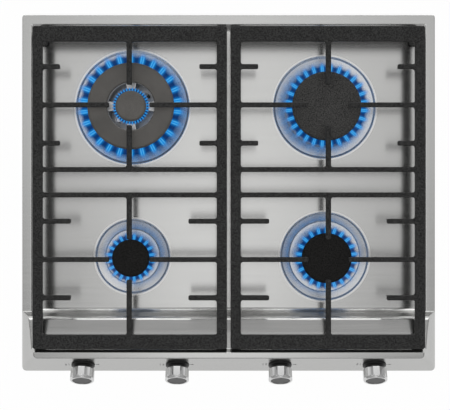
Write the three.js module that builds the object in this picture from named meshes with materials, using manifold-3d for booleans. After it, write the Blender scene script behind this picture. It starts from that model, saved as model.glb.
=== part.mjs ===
// A four-burner gas cooktop for a 560 mm worktop cut-out: a pressed steel top with a raised control
// console, two cast-iron grates, one double-ring burner and three single ones, and the gas train below.
// Millimetres. X points right, Y to the rear, Z up. The origin is the middle of the box's underside.

import * as THREE from 'three';
import { mergeVertices } from 'three/addons/utils/BufferGeometryUtils.js';
import Module from 'manifold-3d';

// ---- Fits ----
const GAP = 0.3; // between pieces that seat on, or pass through, one another
const WELD = 1e-4; // vertices nearer than this are one vertex
const THROUGH = 1; // how far a cutter runs past the face that it cuts

// ---- Top panel ----
const PANEL_WIDTH = 595;
const PANEL_DEPTH = 513;
const PANEL_CORNER_RADIUS = 6;
const SHEET = 1.2;
const RIM_DROP = 5; // the flange's top above the worktop
const WELL_MARGIN = 14; // flat flange between the rim and the well
const WELL_DEPTH = 6;
const WELL_WALL_RUN = 8;
const DISH_DEPTH = 4;

// ---- Console, from the front edge to the rear ----
const RIDGE_HEIGHT = 45; // above the flange
const FASCIA_RUN = 26;
const SIDE_SLOPE = 0.54; // run over rise of the console's ends
const RIDGE_WIDTH = 8.5;
const RIDGE_STEP = 4;
const SHOULDER_FRONT_HEIGHT = 37.3;
const SHOULDER_DEPTH = 24;
const SHOULDER_REAR_HEIGHT = 31.5;
const KNEE_RUN = 16;
const KNEE_HEIGHT = 25;
const RAMP_RUN = 8;

// ---- Box under the panel ----
const WORKTOP_Z = 45; // the worktop's face above the box's underside
const BOX_SIDE_MARGIN = 21.5; // inside the panel's rim
const BOX_END_MARGIN = 20.5;
const BOX_CORNER_RADIUS = 8;
const BOX_SHEET = 1;
const UPSTAND_ABOVE_FLANGE = 1; // the box's walls reach this far up inside the console
const SEAL_WIDTH = 10;

// ---- Hold-down clamps ----
const CLAMP_SHEET = 1.5;
const CLAMP_LENGTH = 220;
const CLAMP_LOW = 6;
const CLAMP_HIGH = 38;
const CLAMP_TONGUE_LENGTH = 15;
const CLAMP_TONGUE_REACH = 15;

// ---- Grates ----
const GRATE_SIDE_MARGIN = 23.9; // inside the panel's rim
const GRATE_REAR_MARGIN = 23;
const GRATE_SPACING = 5.2; // between the two grates
const GRATE_THICKNESS = 11;
const GRATE_FRONT_CLEARANCE = 1; // behind the console's ridge step
const GRATE_SHOULDER_CLEARANCE = 0.7;
const GRATE_REAR_BAR = 22;
const GRATE_FRONT_BAR = 20;
const GRATE_OUTER_BAR = 13.8;
const GRATE_INNER_BAR = 14.2;
const GRATE_FILLET = 3;
const CROSS_BAR_SPACING = 35.4;
const LONG_FINGER_WIDTH = 7.6; // fingers that run front to rear
const FINGER_WIDTH = 7.1; // fingers, stubs and cross bars that run left to right
const FINGER_TIP_RADIUS = 28; // from a burner's centre
const STUB_OFFSET = 53.4; // in front of and behind a burner's centre
const REAR_STUB_LENGTH = 24.3;
const FRONT_STUB_LENGTH = 39.5;
const LEG_WIDTH = 14;
const FOOT_HEIGHT = 3;

// ---- Burners ----
const BURNER_OUTWARD = 0.7; // of its grate's middle
const REAR_BURNER_INSET = 110.1; // from the grate's rear edge
const FRONT_BURNER_INSET = 124.9; // from the grate's front edge
const WOK_DISH = 163;
const WOK_DISH_WALL = 16.5; // how far in the dish's wall runs
const WOK_CAP = 123;
const LARGE_DISH = 147;
const LARGE_DISH_WALL = 17.5;
const LARGE_CAP = 98;
const MEDIUM_DISH = 127;
const MEDIUM_DISH_WALL = 13;
const MEDIUM_CAP = 71;
const SMALL_DISH = 107;
const SMALL_DISH_WALL = 15;
const SMALL_CAP = 53;
const CUP_WALL = 4;
const CUP_FLOOR = 6;
const CUP_BOTTOM_Z = 12;
const CUP_RISE = 15; // the cup's rim above the dish
const CUP_FLANGE_THICKNESS = 3;
const CUP_FLANGE_OVERHANG = 10;
const CUP_SHANK_INSET = 3; // the part below the flange is this much slimmer
const CUP_INSET = 5; // the cup is this much slimmer than its crown
const CUP_HOLE_CLEARANCE = 1;
const CROWN_HEIGHT = 16;
const CROWN_BASE = 4;
const CROWN_WALL = 5;
const CROWN_SPIGOT_DEPTH = 6;
const CROWN_SPIGOT_WALL = 3.5;
const CROWN_NOTCH_CLEARANCE = 0.6; // round the electrode
const SPIGOT_CLEARANCE = 0.5;
const CAP_THICKNESS = 5;
const CAP_OVERHANG = 2.5; // past the crown
const CAP_EDGE = 1.2;
const CAP_RING_HEIGHT = 3;
const CAP_RING_WALL = 2.5;
const PORT_WIDTH = 2.4;
const PORT_DEPTH = 5;
const INNER_CAP_RADIUS = 21.75; // the double-ring burner's centre
const ANNULUS_INNER_RADIUS = 33.75;
const TROUGH_WALL = 3.5;
const HUB_WALL = 3.5;
const WINDOW_MARGIN = 1.2; // between an air window and the walls beside it
const BRIDGE_HALF_WIDTH = 5;
const ELECTRODE_RADIUS = 2.5;
const ELECTRODE_TIP_RADIUS = 0.8;
const ELECTRODE_TIP_LENGTH = 7;
const ELECTRODE_TAIL = 12; // below what holds it
const ELECTRODE_ANGLE = THREE.MathUtils.degToRad(40);
const ELECTRODE_CROWN_INSET = 0.5; // its axis inside the crown's edge
const ELECTRODE_HEADROOM = 2; // under the cap

// ---- Taps: along the knob's axis, measured from the fascia ----
const OUTER_KNOB_OFFSET = 67.7; // sideways from the burners
const INNER_KNOB_OFFSET = 66;
const KNOB_RADIUS = 17;
const KNOB_SIDES = 12;
const KNOB_BACK = 7;
const KNOB_LENGTH = 17;
const KNOB_FRONT_RING = 3.5;
const KNOB_FACE_RECESS = 0.8;
const KNOB_FACE_RADIUS = 13.5;
const KNOB_WALL = 2;
const KNOB_HUB_RADIUS = 6.5;
const KNOB_HUB_BACK = 9.5;
const BEZEL_RADIUS = 16.5;
const BEZEL_FLANGE = 1.9;
const BEZEL_NECK_RADIUS = 13.3;
const BEZEL_HEIGHT = 5;
const BEZEL_SPIGOT_RADIUS = 5.6;
const BEZEL_SPIGOT_DEPTH = 2.2;
const BEZEL_BORE = 4.2;
const STEM_RADIUS = 3;
const STEM_FLAT = 2; // from the stem's axis
const STEM_OUTER_END = 18;
const STEM_INNER_END = -29;
const TAP_BODY_WIDTH = 26;
const TAP_BODY_HEIGHT = 24;
const TAP_BODY_FRONT = -6;
const TAP_BODY_REAR = -52;
const TAP_NECK_RADIUS = 9;
const TAP_NECK_FRONT = -3.5;
const MAGNET_RADIUS = 8;
const MAGNET_LENGTH = 18;
const PLUG_FRONT = -27;
const PLUG_LENGTH = 17;
const PLUG_FRONT_RADIUS = 7;
const PLUG_REAR_RADIUS = 5.5;
const PLUG_BORE_DEPTH = 7;
const OUTLET_RADIUS = 5.5;
const OUTLET_LENGTH = 4;
const OUTLET_POSITION = -30;
const INLET_RADIUS = 6;
const INLET_LENGTH = 4;
const INLET_POSITION = -42;

// ---- Gas train ----
const MANIFOLD_RADIUS = 8;
const MANIFOLD_BORE = 6.5;
const MANIFOLD_OVERHANG = 40; // past the outer tap
const MANIFOLD_SIDE_MARGIN = 13; // to the box's side wall
const MANIFOLD_BEND = 25;
const SADDLE_THICKNESS = 2;
const SADDLE_WIDTH = 18;
const SADDLE_X = 140;
const INLET_REAR_MARGIN = 31; // to the box's rear face
const ELBOW_RADIUS = 10.5;
const ELBOW_BORE = 7;
const ELBOW_BOTTOM_Z = 0.5;
const ELBOW_HOLE_CLEARANCE = 0.5;
const ELBOW_HEADROOM = 1.05; // under the panel
const ELBOW_TOP_ABOVE = 11; // above the manifold's end
const PIPE_RADIUS = 4;
const PIPE_Z = 24;
const PIPE_BEND = 6;
const PIPE_SIDE_RUN = 9;
const PIPE_DIVE_END = 84.5; // behind the panel's front edge
const REAR_PIPE_TURN = 104.9; // in front of the burner's centre
const REAR_PIPE_APPROACH = 22;
const FRONT_PIPE_TURN = 60.7;
const FRONT_PIPE_APPROACH = 15;

// ---- Ignition and mains entry ----
const MODULE_WIDTH = 62;
const MODULE_DEPTH = 40;
const MODULE_HEIGHT = 24;
const MODULE_REAR_CLEARANCE = 30; // to the box's rear wall
const GLAND_X = -180;
const GLAND_Z = 22;
const GLAND_BODY_RADIUS = 6;
const GLAND_NUT_RADIUS = 9;
const GLAND_NUT_LENGTH = 8;
const GLAND_HEAD_LENGTH = 3;
const GLAND_BORE = 3.5;

// ---- How finely round things are cut ----
const DISH_SEGMENTS = 28;
const BURNER_SEGMENTS = 20;
const SMALL_SEGMENTS = 10;
const BEZEL_SEGMENTS = 16;
const PLUG_SEGMENTS = 20; // so that the plug's corners turn freely inside its seat
const CORNER_STEPS = 2; // an arc has twice as many edges as its steps
const FILLET_STEPS = 1;
const STEM_STEPS = 5;
const WINDOW_STEPS = 3;
const TUBE_STEPS = 4;
const BEND_STEPS = 3;

// ---- Levels and places that follow from the sizes above ----
const FLANGE_Z = WORKTOP_Z + RIM_DROP;
const WELL_FLOOR_Z = FLANGE_Z - WELL_DEPTH;
const DISH_FLOOR_Z = WELL_FLOOR_Z - DISH_DEPTH;
const BOX_WIDTH = PANEL_WIDTH - 2 * BOX_SIDE_MARGIN;
const BOX_DEPTH = PANEL_DEPTH - 2 * BOX_END_MARGIN;
const HALF_WIDTH = PANEL_WIDTH / 2;
const FRONT_Y = -PANEL_DEPTH / 2;
const REAR_Y = PANEL_DEPTH / 2;
const FASCIA_TOP_Y = FRONT_Y + FASCIA_RUN;
const RIDGE_REAR_Y = FASCIA_TOP_Y + RIDGE_WIDTH;
const SHOULDER_FRONT_Y = RIDGE_REAR_Y + RIDGE_STEP;
const SHOULDER_REAR_Y = SHOULDER_FRONT_Y + SHOULDER_DEPTH;
const KNEE_Y = SHOULDER_REAR_Y + KNEE_RUN;
const RAMP_FOOT_Y = KNEE_Y + RAMP_RUN;
const GRATE_FRONT_Y = SHOULDER_FRONT_Y + GRATE_FRONT_CLEARANCE;
const GRATE_REAR_Y = REAR_Y - GRATE_REAR_MARGIN;
const GRATE_BOTTOM_Z = FLANGE_Z + SHOULDER_FRONT_HEIGHT + GRATE_SHOULDER_CLEARANCE;
const GRATE_TOP_Z = GRATE_BOTTOM_Z + GRATE_THICKNESS;
const GRATE_INNER_X = GRATE_SPACING / 2;
const GRATE_OUTER_X = HALF_WIDTH - GRATE_SIDE_MARGIN;
const BURNER_X = (GRATE_INNER_X + GRATE_OUTER_X) / 2 + BURNER_OUTWARD;
const REAR_BURNER_Y = GRATE_REAR_Y - REAR_BURNER_INSET;
const FRONT_BURNER_Y = GRATE_FRONT_Y + FRONT_BURNER_INSET;
const CROSS_BARS_Y = (REAR_BURNER_Y + FRONT_BURNER_Y) / 2;
const CUP_TOP_Z = DISH_FLOOR_Z + GAP + CUP_RISE;
const CROWN_BOTTOM_Z = CUP_TOP_Z + GAP;
const CROWN_TOP_Z = CROWN_BOTTOM_Z + CROWN_HEIGHT;
const CAP_BOTTOM_Z = CROWN_TOP_Z + GAP;
const BOX_TOP_Z = WELL_FLOOR_Z - SHEET - GAP;
// Tips a knob's axis from vertical to the fascia's normal.
const KNOB_TURN = Math.atan2(RIDGE_HEIGHT, FASCIA_RUN);
const KNOB_FRONT = KNOB_BACK + KNOB_LENGTH;
const INLET_DROP = TAP_BODY_HEIGHT / 2 + INLET_LENGTH + GAP + MANIFOLD_RADIUS;
const OUTER_KNOB_X = BURNER_X + OUTER_KNOB_OFFSET;
const INNER_KNOB_X = BURNER_X - INNER_KNOB_OFFSET;
const KNOB_XS = [-OUTER_KNOB_X, -INNER_KNOB_X, INNER_KNOB_X, OUTER_KNOB_X];
const SADDLE_XS = [-SADDLE_X, SADDLE_X];
const INLET_Y = BOX_DEPTH / 2 - INLET_REAR_MARGIN;
const ELBOW_TOP_Z = BOX_TOP_Z - ELBOW_HEADROOM;
const MANIFOLD_END_Z = ELBOW_TOP_Z - ELBOW_TOP_ABOVE;

const burnerAt = (name, side, y, dish, wall, cap, ports) =>
  ({ name, side, y, dish, floor: dish - 2 * wall, cap, ports });

const BURNERS = [
  { ...burnerAt('rear_left', -1, REAR_BURNER_Y, WOK_DISH, WOK_DISH_WALL, WOK_CAP, 26), double: true },
  burnerAt('rear_right', 1, REAR_BURNER_Y, LARGE_DISH, LARGE_DISH_WALL, LARGE_CAP, 28),
  burnerAt('front_right', 1, FRONT_BURNER_Y, MEDIUM_DISH, MEDIUM_DISH_WALL, MEDIUM_CAP, 22),
  burnerAt('front_left', -1, FRONT_BURNER_Y, SMALL_DISH, SMALL_DISH_WALL, SMALL_CAP, 20),
];

const wasm = await Module();
wasm.setup();

// ---- Solids from three.js geometry ----

// Shared vertices are merged, and triangles that the merging flattens are dropped.
function weld(geometry) {
  const bare = geometry.clone();
  bare.deleteAttribute('normal');
  bare.deleteAttribute('uv');
  const merged = mergeVertices(bare, WELD);
  const corners = merged.index.array;
  const kept = [];
  for (let i = 0; i < corners.length; i += 3) {
    const [a, b, c] = corners.slice(i, i + 3);
    if (a !== b && b !== c && c !== a) kept.push(a, b, c);
  }
  merged.setIndex(kept);
  return merged;
}

function solidOf(geometry) {
  const welded = weld(geometry);
  const vertProperties = new Float32Array(welded.attributes.position.array);
  const triVerts = new Uint32Array(welded.index.array);
  return new wasm.Manifold(new wasm.Mesh({ numProp: 3, vertProperties, triVerts }));
}

function geometryOf(solid) {
  const mesh = solid.getMesh();
  const geometry = new THREE.BufferGeometry();
  geometry.setAttribute('position', new THREE.BufferAttribute(mesh.vertProperties, 3));
  geometry.setIndex(new THREE.BufferAttribute(mesh.triVerts, 1));
  geometry.computeVertexNormals();
  return geometry;
}

const joined = (solids) => solids.reduce((whole, solid) => whole.add(solid));
const cutBy = (solid, cutters) => cutters.reduce((left, cutter) => left.subtract(cutter), solid);

// A box between two opposite corners, given in either order.
function block(xa, xb, ya, yb, za, zb) {
  const box = new THREE.BoxGeometry(Math.abs(xb - xa), Math.abs(yb - ya), Math.abs(zb - za));
  return solidOf(box.translate((xa + xb) / 2, (ya + yb) / 2, (za + zb) / 2));
}

function extruded(shape, length, curveSegments = CORNER_STEPS) {
  return new THREE.ExtrudeGeometry(shape, { depth: length, bevelEnabled: false, curveSegments });
}

// A plan outline raised from one level to another.
function prism(shape, low, high, curveSegments) {
  return solidOf(extruded(shape, high - low, curveSegments).translate(0, 0, low));
}

// A side view, drawn as (Y, Z), that runs along X.
function alongX(shape, from, to) {
  const turn = new THREE.Matrix4().makeBasis(
    new THREE.Vector3(0, 1, 0),
    new THREE.Vector3(0, 0, 1),
    new THREE.Vector3(1, 0, 0),
  );
  return solidOf(extruded(shape, to - from).applyMatrix4(turn).translate(from, 0, 0));
}

// A front view, drawn as (X, Z), that runs along Y.
function alongY(shape, from, to) {
  return solidOf(extruded(shape, to - from).rotateX(Math.PI / 2).translate(0, to, 0));
}

// A closed profile of [radius, height] points, turned about the Z axis.
function turned(profile, segments = SMALL_SEGMENTS) {
  const points = profile.map(([radius, height]) => new THREE.Vector2(radius, height));
  if (THREE.ShapeUtils.area(points) < 0) points.reverse();
  points.push(points[0].clone());
  return solidOf(new THREE.LatheGeometry(points, segments).rotateX(Math.PI / 2));
}

const disc = (radius, low, high, segments) =>
  turned([[0, low], [radius, low], [radius, high], [0, high]], segments);

const ring = (inner, outer, low, high, segments) =>
  turned([[inner, low], [outer, low], [outer, high], [inner, high]], segments);

const polygon = (points) => new THREE.Shape(points.map(([x, y]) => new THREE.Vector2(x, y)));

function roundedRectangle(width, depth, radius) {
  const x = width / 2 - radius;
  const y = depth / 2 - radius;
  const shape = new THREE.Shape();
  shape.absarc(x, y, radius, 0, Math.PI / 2);
  shape.absarc(-x, y, radius, Math.PI / 2, Math.PI);
  shape.absarc(-x, -y, radius, Math.PI, Math.PI * 1.5);
  shape.absarc(x, -y, radius, Math.PI * 1.5, Math.PI * 2);
  return shape;
}

// An open chain of points moved sideways to the right of its direction by a distance.
function shiftedChain(points, distance) {
  const normals = points.slice(1).map((point, i) => {
    const along = point.clone().sub(points[i]).normalize();
    return new THREE.Vector2(along.y, -along.x);
  });
  return points.map((point, i) => {
    const before = normals[Math.max(i - 1, 0)];
    const after = normals[Math.min(i, normals.length - 1)];
    const mitre = before.clone().add(after).normalize();
    return point.clone().addScaledVector(mitre, distance / mitre.dot(before));
  });
}

// Straight stretches between the points, with a rounded bend at each inner one. Its stations are the
// ends of the stretches and a few places along each bend.
class PipeRun extends THREE.Curve {
  constructor(points, bend) {
    super();
    this.stations = [points[0]];
    for (let i = 1; i < points.length - 1; i++) {
      const corner = points[i];
      const before = points[i - 1].clone().sub(corner).setLength(bend).add(corner);
      const after = points[i + 1].clone().sub(corner).setLength(bend).add(corner);
      this.stations.push(...new THREE.QuadraticBezierCurve3(before, corner, after).getPoints(BEND_STEPS));
    }
    this.stations.push(points.at(-1));
  }

  getPoint(t) {
    const along = t * (this.stations.length - 1);
    const i = Math.min(Math.floor(along), this.stations.length - 2);
    return this.stations[i].clone().lerp(this.stations[i + 1], along - i);
  }

  // Stations are evenly spaced in the parameter, whatever lies between them.
  getUtoTmapping(u) {
    return u;
  }
}

function swept(radius, bore, points, bend) {
  const section = new THREE.Shape().absarc(0, 0, radius, 0, Math.PI * 2);
  if (bore > 0) section.holes.push(new THREE.Path().absarc(0, 0, bore, 0, Math.PI * 2, true));
  const extrudePath = new PipeRun(points, bend);
  const steps = extrudePath.stations.length - 1;
  return solidOf(new THREE.ExtrudeGeometry(section, { steps, extrudePath, curveSegments: TUBE_STEPS }));
}

// ---- Materials ----
const finish = (color, roughness, metalness) =>
  new THREE.MeshStandardMaterial({ color, roughness, metalness });
const STEEL = finish(0xb9b9b5, 0.35, 1);
const ZINC = finish(0x9a9c9c, 0.5, 0.9);
const IRON = finish(0x2b2b2b, 0.75, 0.1);
const ENAMEL = finish(0x1c1c1c, 0.45, 0.0);
const WARM_ENAMEL = finish(0x55514c, 0.4, 0.2);
const ALUMINIUM = finish(0xb8b9ba, 0.45, 1);
const CHROME = finish(0xd8d8d8, 0.12, 1);
const BRASS = finish(0xb08d4a, 0.35, 1);
const BLACK_PLASTIC = finish(0x121212, 0.4, 0.0);
const RUBBER = finish(0x1a1a1a, 0.9, 0.0);
const FOAM = finish(0x3a3a3a, 0.95, 0.0);
const CERAMIC = finish(0xe8e4da, 0.5, 0.0);
const GREY_PLASTIC = finish(0x6d7072, 0.6, 0.0);

const cooktop = new THREE.Group();

function addPiece(parent, name, solid, material) {
  const mesh = new THREE.Mesh(geometryOf(solid), material);
  mesh.name = name;
  parent.add(mesh);
}

// ---- Frames of the taps ----
// In a tap's own frame the origin is where its axis leaves the fascia, and Z points out at the user.
function tapMatrix(x) {
  const place = new THREE.Vector3(x, FRONT_Y + FASCIA_RUN / 2, FLANGE_Z + RIDGE_HEIGHT / 2);
  const turn = new THREE.Quaternion().setFromAxisAngle(new THREE.Vector3(1, 0, 0), KNOB_TURN);
  return new THREE.Matrix4().compose(place, turn, new THREE.Vector3(1, 1, 1));
}

const fromTap = (x, local) => new THREE.Vector3(...local).applyMatrix4(tapMatrix(x));

// ---- Top panel ----

// The console's outer surface in side view, from the front rim over the ridge to the ramp's foot.
function consoleChain(frontBottom, rampBottom) {
  const rampSlope = RAMP_RUN / KNEE_HEIGHT;
  return [
    [FRONT_Y, frontBottom],
    [FRONT_Y, 0],
    [FASCIA_TOP_Y, RIDGE_HEIGHT],
    [RIDGE_REAR_Y, RIDGE_HEIGHT],
    [SHOULDER_FRONT_Y, SHOULDER_FRONT_HEIGHT],
    [SHOULDER_REAR_Y, SHOULDER_REAR_HEIGHT],
    [KNEE_Y, KNEE_HEIGHT],
    [RAMP_FOOT_Y - rampBottom * rampSlope, rampBottom],
  ].map(([y, z]) => new THREE.Vector2(y, z));
}

// The console's sloping ends, as a front view that the console keeps inside.
function consoleEnds(inset, low) {
  const high = RIDGE_HEIGHT + KNEE_HEIGHT;
  const right = shiftedChain(
    [
      new THREE.Vector2(HALF_WIDTH, low),
      new THREE.Vector2(HALF_WIDTH, 0),
      new THREE.Vector2(HALF_WIDTH - SIDE_SLOPE * high, high),
    ],
    -inset,
  );
  const left = right.map((point) => new THREE.Vector2(-point.x, point.y)).reverse();
  return alongY(new THREE.Shape([...right, ...left]), FRONT_Y - THROUGH, REAR_Y);
}

function consoleBlock() {
  const floorUnderside = -WELL_DEPTH - SHEET;
  const chain = consoleChain(-RIM_DROP, floorUnderside);
  const heel = chain.at(-1).x - WELL_MARGIN;
  chain.push(new THREE.Vector2(heel, floorUnderside), new THREE.Vector2(heel, -RIM_DROP));
  const outline = roundedRectangle(PANEL_WIDTH, PANEL_DEPTH, PANEL_CORNER_RADIUS);
  return alongX(new THREE.Shape(chain), -HALF_WIDTH, HALF_WIDTH)
    .intersect(consoleEnds(0, -WORKTOP_Z))
    .intersect(prism(outline, -WORKTOP_Z, RIDGE_HEIGHT + THROUGH));
}

function consoleHollow() {
  const chain = shiftedChain(consoleChain(-WORKTOP_Z, -WORKTOP_Z), SHEET);
  return alongX(new THREE.Shape(chain), -HALF_WIDTH, HALF_WIDTH).intersect(consoleEnds(SHEET, -WORKTOP_Z));
}

// The well, with walls that slope out to the flange. It grows by the sheet to give its own outside.
function wellTub(grow, height) {
  const depth = WELL_DEPTH + grow;
  const slope = WELL_WALL_RUN / WELL_DEPTH;
  const bevelSize = depth * slope;
  const sideways = grow * Math.hypot(1, slope) - bevelSize;
  const halfX = HALF_WIDTH - WELL_MARGIN + sideways;
  const rear = REAR_Y - WELL_MARGIN + sideways;
  const front = RAMP_FOOT_Y - WELL_MARGIN - sideways;
  const floor = polygon([[-halfX, front], [halfX, front], [halfX, rear], [-halfX, rear]]);
  const settings = { depth: height, bevelThickness: depth, bevelSize, bevelSegments: 1, curveSegments: 1 };
  return solidOf(new THREE.ExtrudeGeometry(floor, settings));
}

// A round dish with a conical wall, below the well's floor.
function dish(burner, sink, top) {
  const profile = [
    [0, -DISH_DEPTH - sink],
    [burner.floor / 2, -DISH_DEPTH - sink],
    [burner.dish / 2, -sink],
    [burner.dish / 2, top],
    [0, top],
  ];
  return turned(profile, DISH_SEGMENTS).translate([burner.side * BURNER_X, burner.y, WELL_FLOOR_Z]);
}

function makePanel() {
  const outline = roundedRectangle(PANEL_WIDTH, PANEL_DEPTH, PANEL_CORNER_RADIUS);
  const inside = roundedRectangle(
    PANEL_WIDTH - 2 * SHEET,
    PANEL_DEPTH - 2 * SHEET,
    PANEL_CORNER_RADIUS - SHEET,
  );
  const raised = consoleBlock();
  const tub = wellTub(SHEET, WELL_MARGIN).intersect(prism(outline, -WORKTOP_Z, 0));
  const well = wellTub(0, 2 * RIDGE_HEIGHT).subtract(raised);
  const underRim = prism(inside, -WORKTOP_Z, -SHEET).subtract(tub);
  const rim = prism(outline, -RIM_DROP, 0);
  const pressed = cutBy(joined([rim, tub, raised]), [well, underRim, consoleHollow()])
    .translate([0, 0, FLANGE_Z]);
  const dished = joined([pressed, ...BURNERS.map((burner) => dish(burner, SHEET, -SHEET / 2))]);
  return cutBy(dished, [
    ...BURNERS.map((burner) => dish(burner, 0, THROUGH)),
    ...BURNERS.map(burnerHole),
    ...BURNERS.filter((burner) => !burner.double).map((burner) => electrodeHole(burner, DISH_FLOOR_Z)),
    ...KNOB_XS.map(fasciaHole),
  ]);
}

function burnerHole(burner) {
  const radius = shankRadius(burner) + CUP_HOLE_CLEARANCE;
  return disc(radius, DISH_FLOOR_Z - SHEET - THROUGH, DISH_FLOOR_Z + THROUGH, BURNER_SEGMENTS)
    .translate([burner.side * BURNER_X, burner.y, 0]);
}

function fasciaHole(x) {
  const hole = new THREE.CylinderGeometry(
    BEZEL_SPIGOT_RADIUS + GAP,
    BEZEL_SPIGOT_RADIUS + GAP,
    2 * (SHEET + THROUGH),
    SMALL_SEGMENTS,
  );
  return solidOf(hole.rotateX(Math.PI / 2).applyMatrix4(tapMatrix(x)));
}

// ---- Box, seal and clamps ----

function makeBox() {
  const outer = roundedRectangle(BOX_WIDTH, BOX_DEPTH, BOX_CORNER_RADIUS);
  const inner = roundedRectangle(
    BOX_WIDTH - 2 * BOX_SHEET,
    BOX_DEPTH - 2 * BOX_SHEET,
    BOX_CORNER_RADIUS - BOX_SHEET,
  );
  const upstandTop = FLANGE_Z + UPSTAND_ABOVE_FLANGE;
  const wellFront = RAMP_FOOT_Y - WELL_DEPTH;
  const underWell = block(-BOX_WIDTH, BOX_WIDTH, wellFront, BOX_DEPTH, BOX_TOP_Z, 2 * upstandTop);
  const tray = prism(outer, 0, upstandTop)
    .subtract(prism(inner, BOX_SHEET, upstandTop + THROUGH))
    .subtract(underWell);
  const saddles = SADDLE_XS.map((x) => {
    const axis = manifoldAxis();
    return block(
      x - SADDLE_THICKNESS / 2,
      x + SADDLE_THICKNESS / 2,
      axis.y - SADDLE_WIDTH / 2,
      axis.y + SADDLE_WIDTH / 2,
      BOX_SHEET / 2,
      axis.z - MANIFOLD_RADIUS - GAP,
    );
  });
  const inletHole = disc(ELBOW_RADIUS + ELBOW_HOLE_CLEARANCE, -THROUGH, BOX_SHEET + THROUGH, SMALL_SEGMENTS)
    .translate([inletX(), INLET_Y, 0]);
  const rearFace = BOX_DEPTH / 2;
  const glandHole = alongYDisc(GLAND_BODY_RADIUS + GAP, rearFace - BOX_SHEET - THROUGH, rearFace + THROUGH)
    .translate([GLAND_X, 0, GLAND_Z]);
  return cutBy(joined([tray, ...saddles]), [inletHole, glandHole]);
}

function alongYDisc(radius, from, to) {
  const cylinder = new THREE.CylinderGeometry(radius, radius, to - from, SMALL_SEGMENTS);
  return solidOf(cylinder.translate(0, (from + to) / 2, 0));
}

function makeSeal() {
  const margin = 2 * (SHEET + GAP);
  const outer = roundedRectangle(
    PANEL_WIDTH - margin,
    PANEL_DEPTH - margin,
    PANEL_CORNER_RADIUS - SHEET - GAP,
  );
  const inner = roundedRectangle(
    PANEL_WIDTH - margin - 2 * SEAL_WIDTH,
    PANEL_DEPTH - margin - 2 * SEAL_WIDTH,
    PANEL_CORNER_RADIUS,
  );
  const top = FLANGE_Z - SHEET - GAP;
  return prism(outer, WORKTOP_Z, top).subtract(prism(inner, WORKTOP_Z - THROUGH, top + THROUGH));
}

// A strip on the box's side with a tongue at each end that grips the worktop from below.
function makeClamp(side) {
  const face = BOX_WIDTH / 2 + GAP;
  const half = CLAMP_LENGTH / 2;
  const strip = block(side * face, side * (face + CLAMP_SHEET), -half, half, CLAMP_LOW, CLAMP_HIGH);
  const tongues = [-1, 1].map((end) =>
    block(
      side * face,
      side * (face + CLAMP_SHEET + CLAMP_TONGUE_REACH),
      end * half,
      end * (half - CLAMP_TONGUE_LENGTH),
      CLAMP_LOW,
      CLAMP_LOW + CLAMP_SHEET,
    ));
  return joined([strip, ...tongues]);
}

// ---- Grates ----

const grateBar = (xa, xb, ya, yb) => block(xa, xb, ya, yb, GRATE_BOTTOM_Z, GRATE_TOP_Z);

// The rounded inside corner at (x, y), open towards (xWay, yWay).
function grateFillet(x, y, xWay, yWay) {
  const r = GRATE_FILLET;
  const shape = new THREE.Shape();
  shape.moveTo(0, 0);
  shape.lineTo(r, 0);
  shape.absarc(r, r, r, -Math.PI / 2, -Math.PI, true);
  const geometry = extruded(shape, GRATE_THICKNESS, FILLET_STEPS);
  const quarter = Math.atan2(yWay, xWay) - Math.PI / 4;
  return solidOf(geometry.rotateZ(quarter).translate(x, y, GRATE_BOTTOM_Z));
}

// A finger or stub along X, rooted on a bar at fromX.
function sideFinger(fromX, toX, y) {
  const way = Math.sign(toX - fromX);
  const half = FINGER_WIDTH / 2;
  return joined([
    grateBar(fromX - way * GRATE_FILLET, toX, y - half, y + half),
    grateFillet(fromX, y + half, way, 1),
    grateFillet(fromX, y - half, way, -1),
  ]);
}

// A finger along Y, rooted on a bar at fromY.
function longFinger(x, fromY, toY) {
  const way = Math.sign(toY - fromY);
  const half = LONG_FINGER_WIDTH / 2;
  return joined([
    grateBar(x - half, x + half, fromY - way * GRATE_FILLET, toY),
    grateFillet(x + half, fromY, 1, way),
    grateFillet(x - half, fromY, -1, way),
  ]);
}

function grateFrame(inner, outer, innerFace, outerFace) {
  const rearFace = GRATE_REAR_Y - GRATE_REAR_BAR;
  const frontFace = GRATE_FRONT_Y + GRATE_FRONT_BAR;
  const towardsOuter = Math.sign(outer - inner);
  return [
    grateBar(inner, outer, rearFace, GRATE_REAR_Y),
    grateBar(inner, outer, GRATE_FRONT_Y, frontFace),
    grateBar(outerFace, outer, GRATE_FRONT_Y, GRATE_REAR_Y),
    grateBar(inner, innerFace, GRATE_FRONT_Y, GRATE_REAR_Y),
    grateFillet(innerFace, rearFace, towardsOuter, -1),
    grateFillet(innerFace, frontFace, towardsOuter, 1),
    grateFillet(outerFace, rearFace, -towardsOuter, -1),
    grateFillet(outerFace, frontFace, -towardsOuter, 1),
  ];
}

function grateSupportOverBurner(burnerY, stubLength, innerFace, outerFace, centre) {
  const towardsOuter = Math.sign(outerFace - innerFace);
  const tip = FINGER_TIP_RADIUS;
  const stubs = [-1, 1].flatMap((way) => [
    sideFinger(innerFace, innerFace + towardsOuter * stubLength, burnerY + way * STUB_OFFSET),
    sideFinger(outerFace, outerFace - towardsOuter * stubLength, burnerY + way * STUB_OFFSET),
  ]);
  return [
    ...stubs,
    sideFinger(innerFace, centre - towardsOuter * tip, burnerY),
    sideFinger(outerFace, centre + towardsOuter * tip, burnerY),
  ];
}

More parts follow.
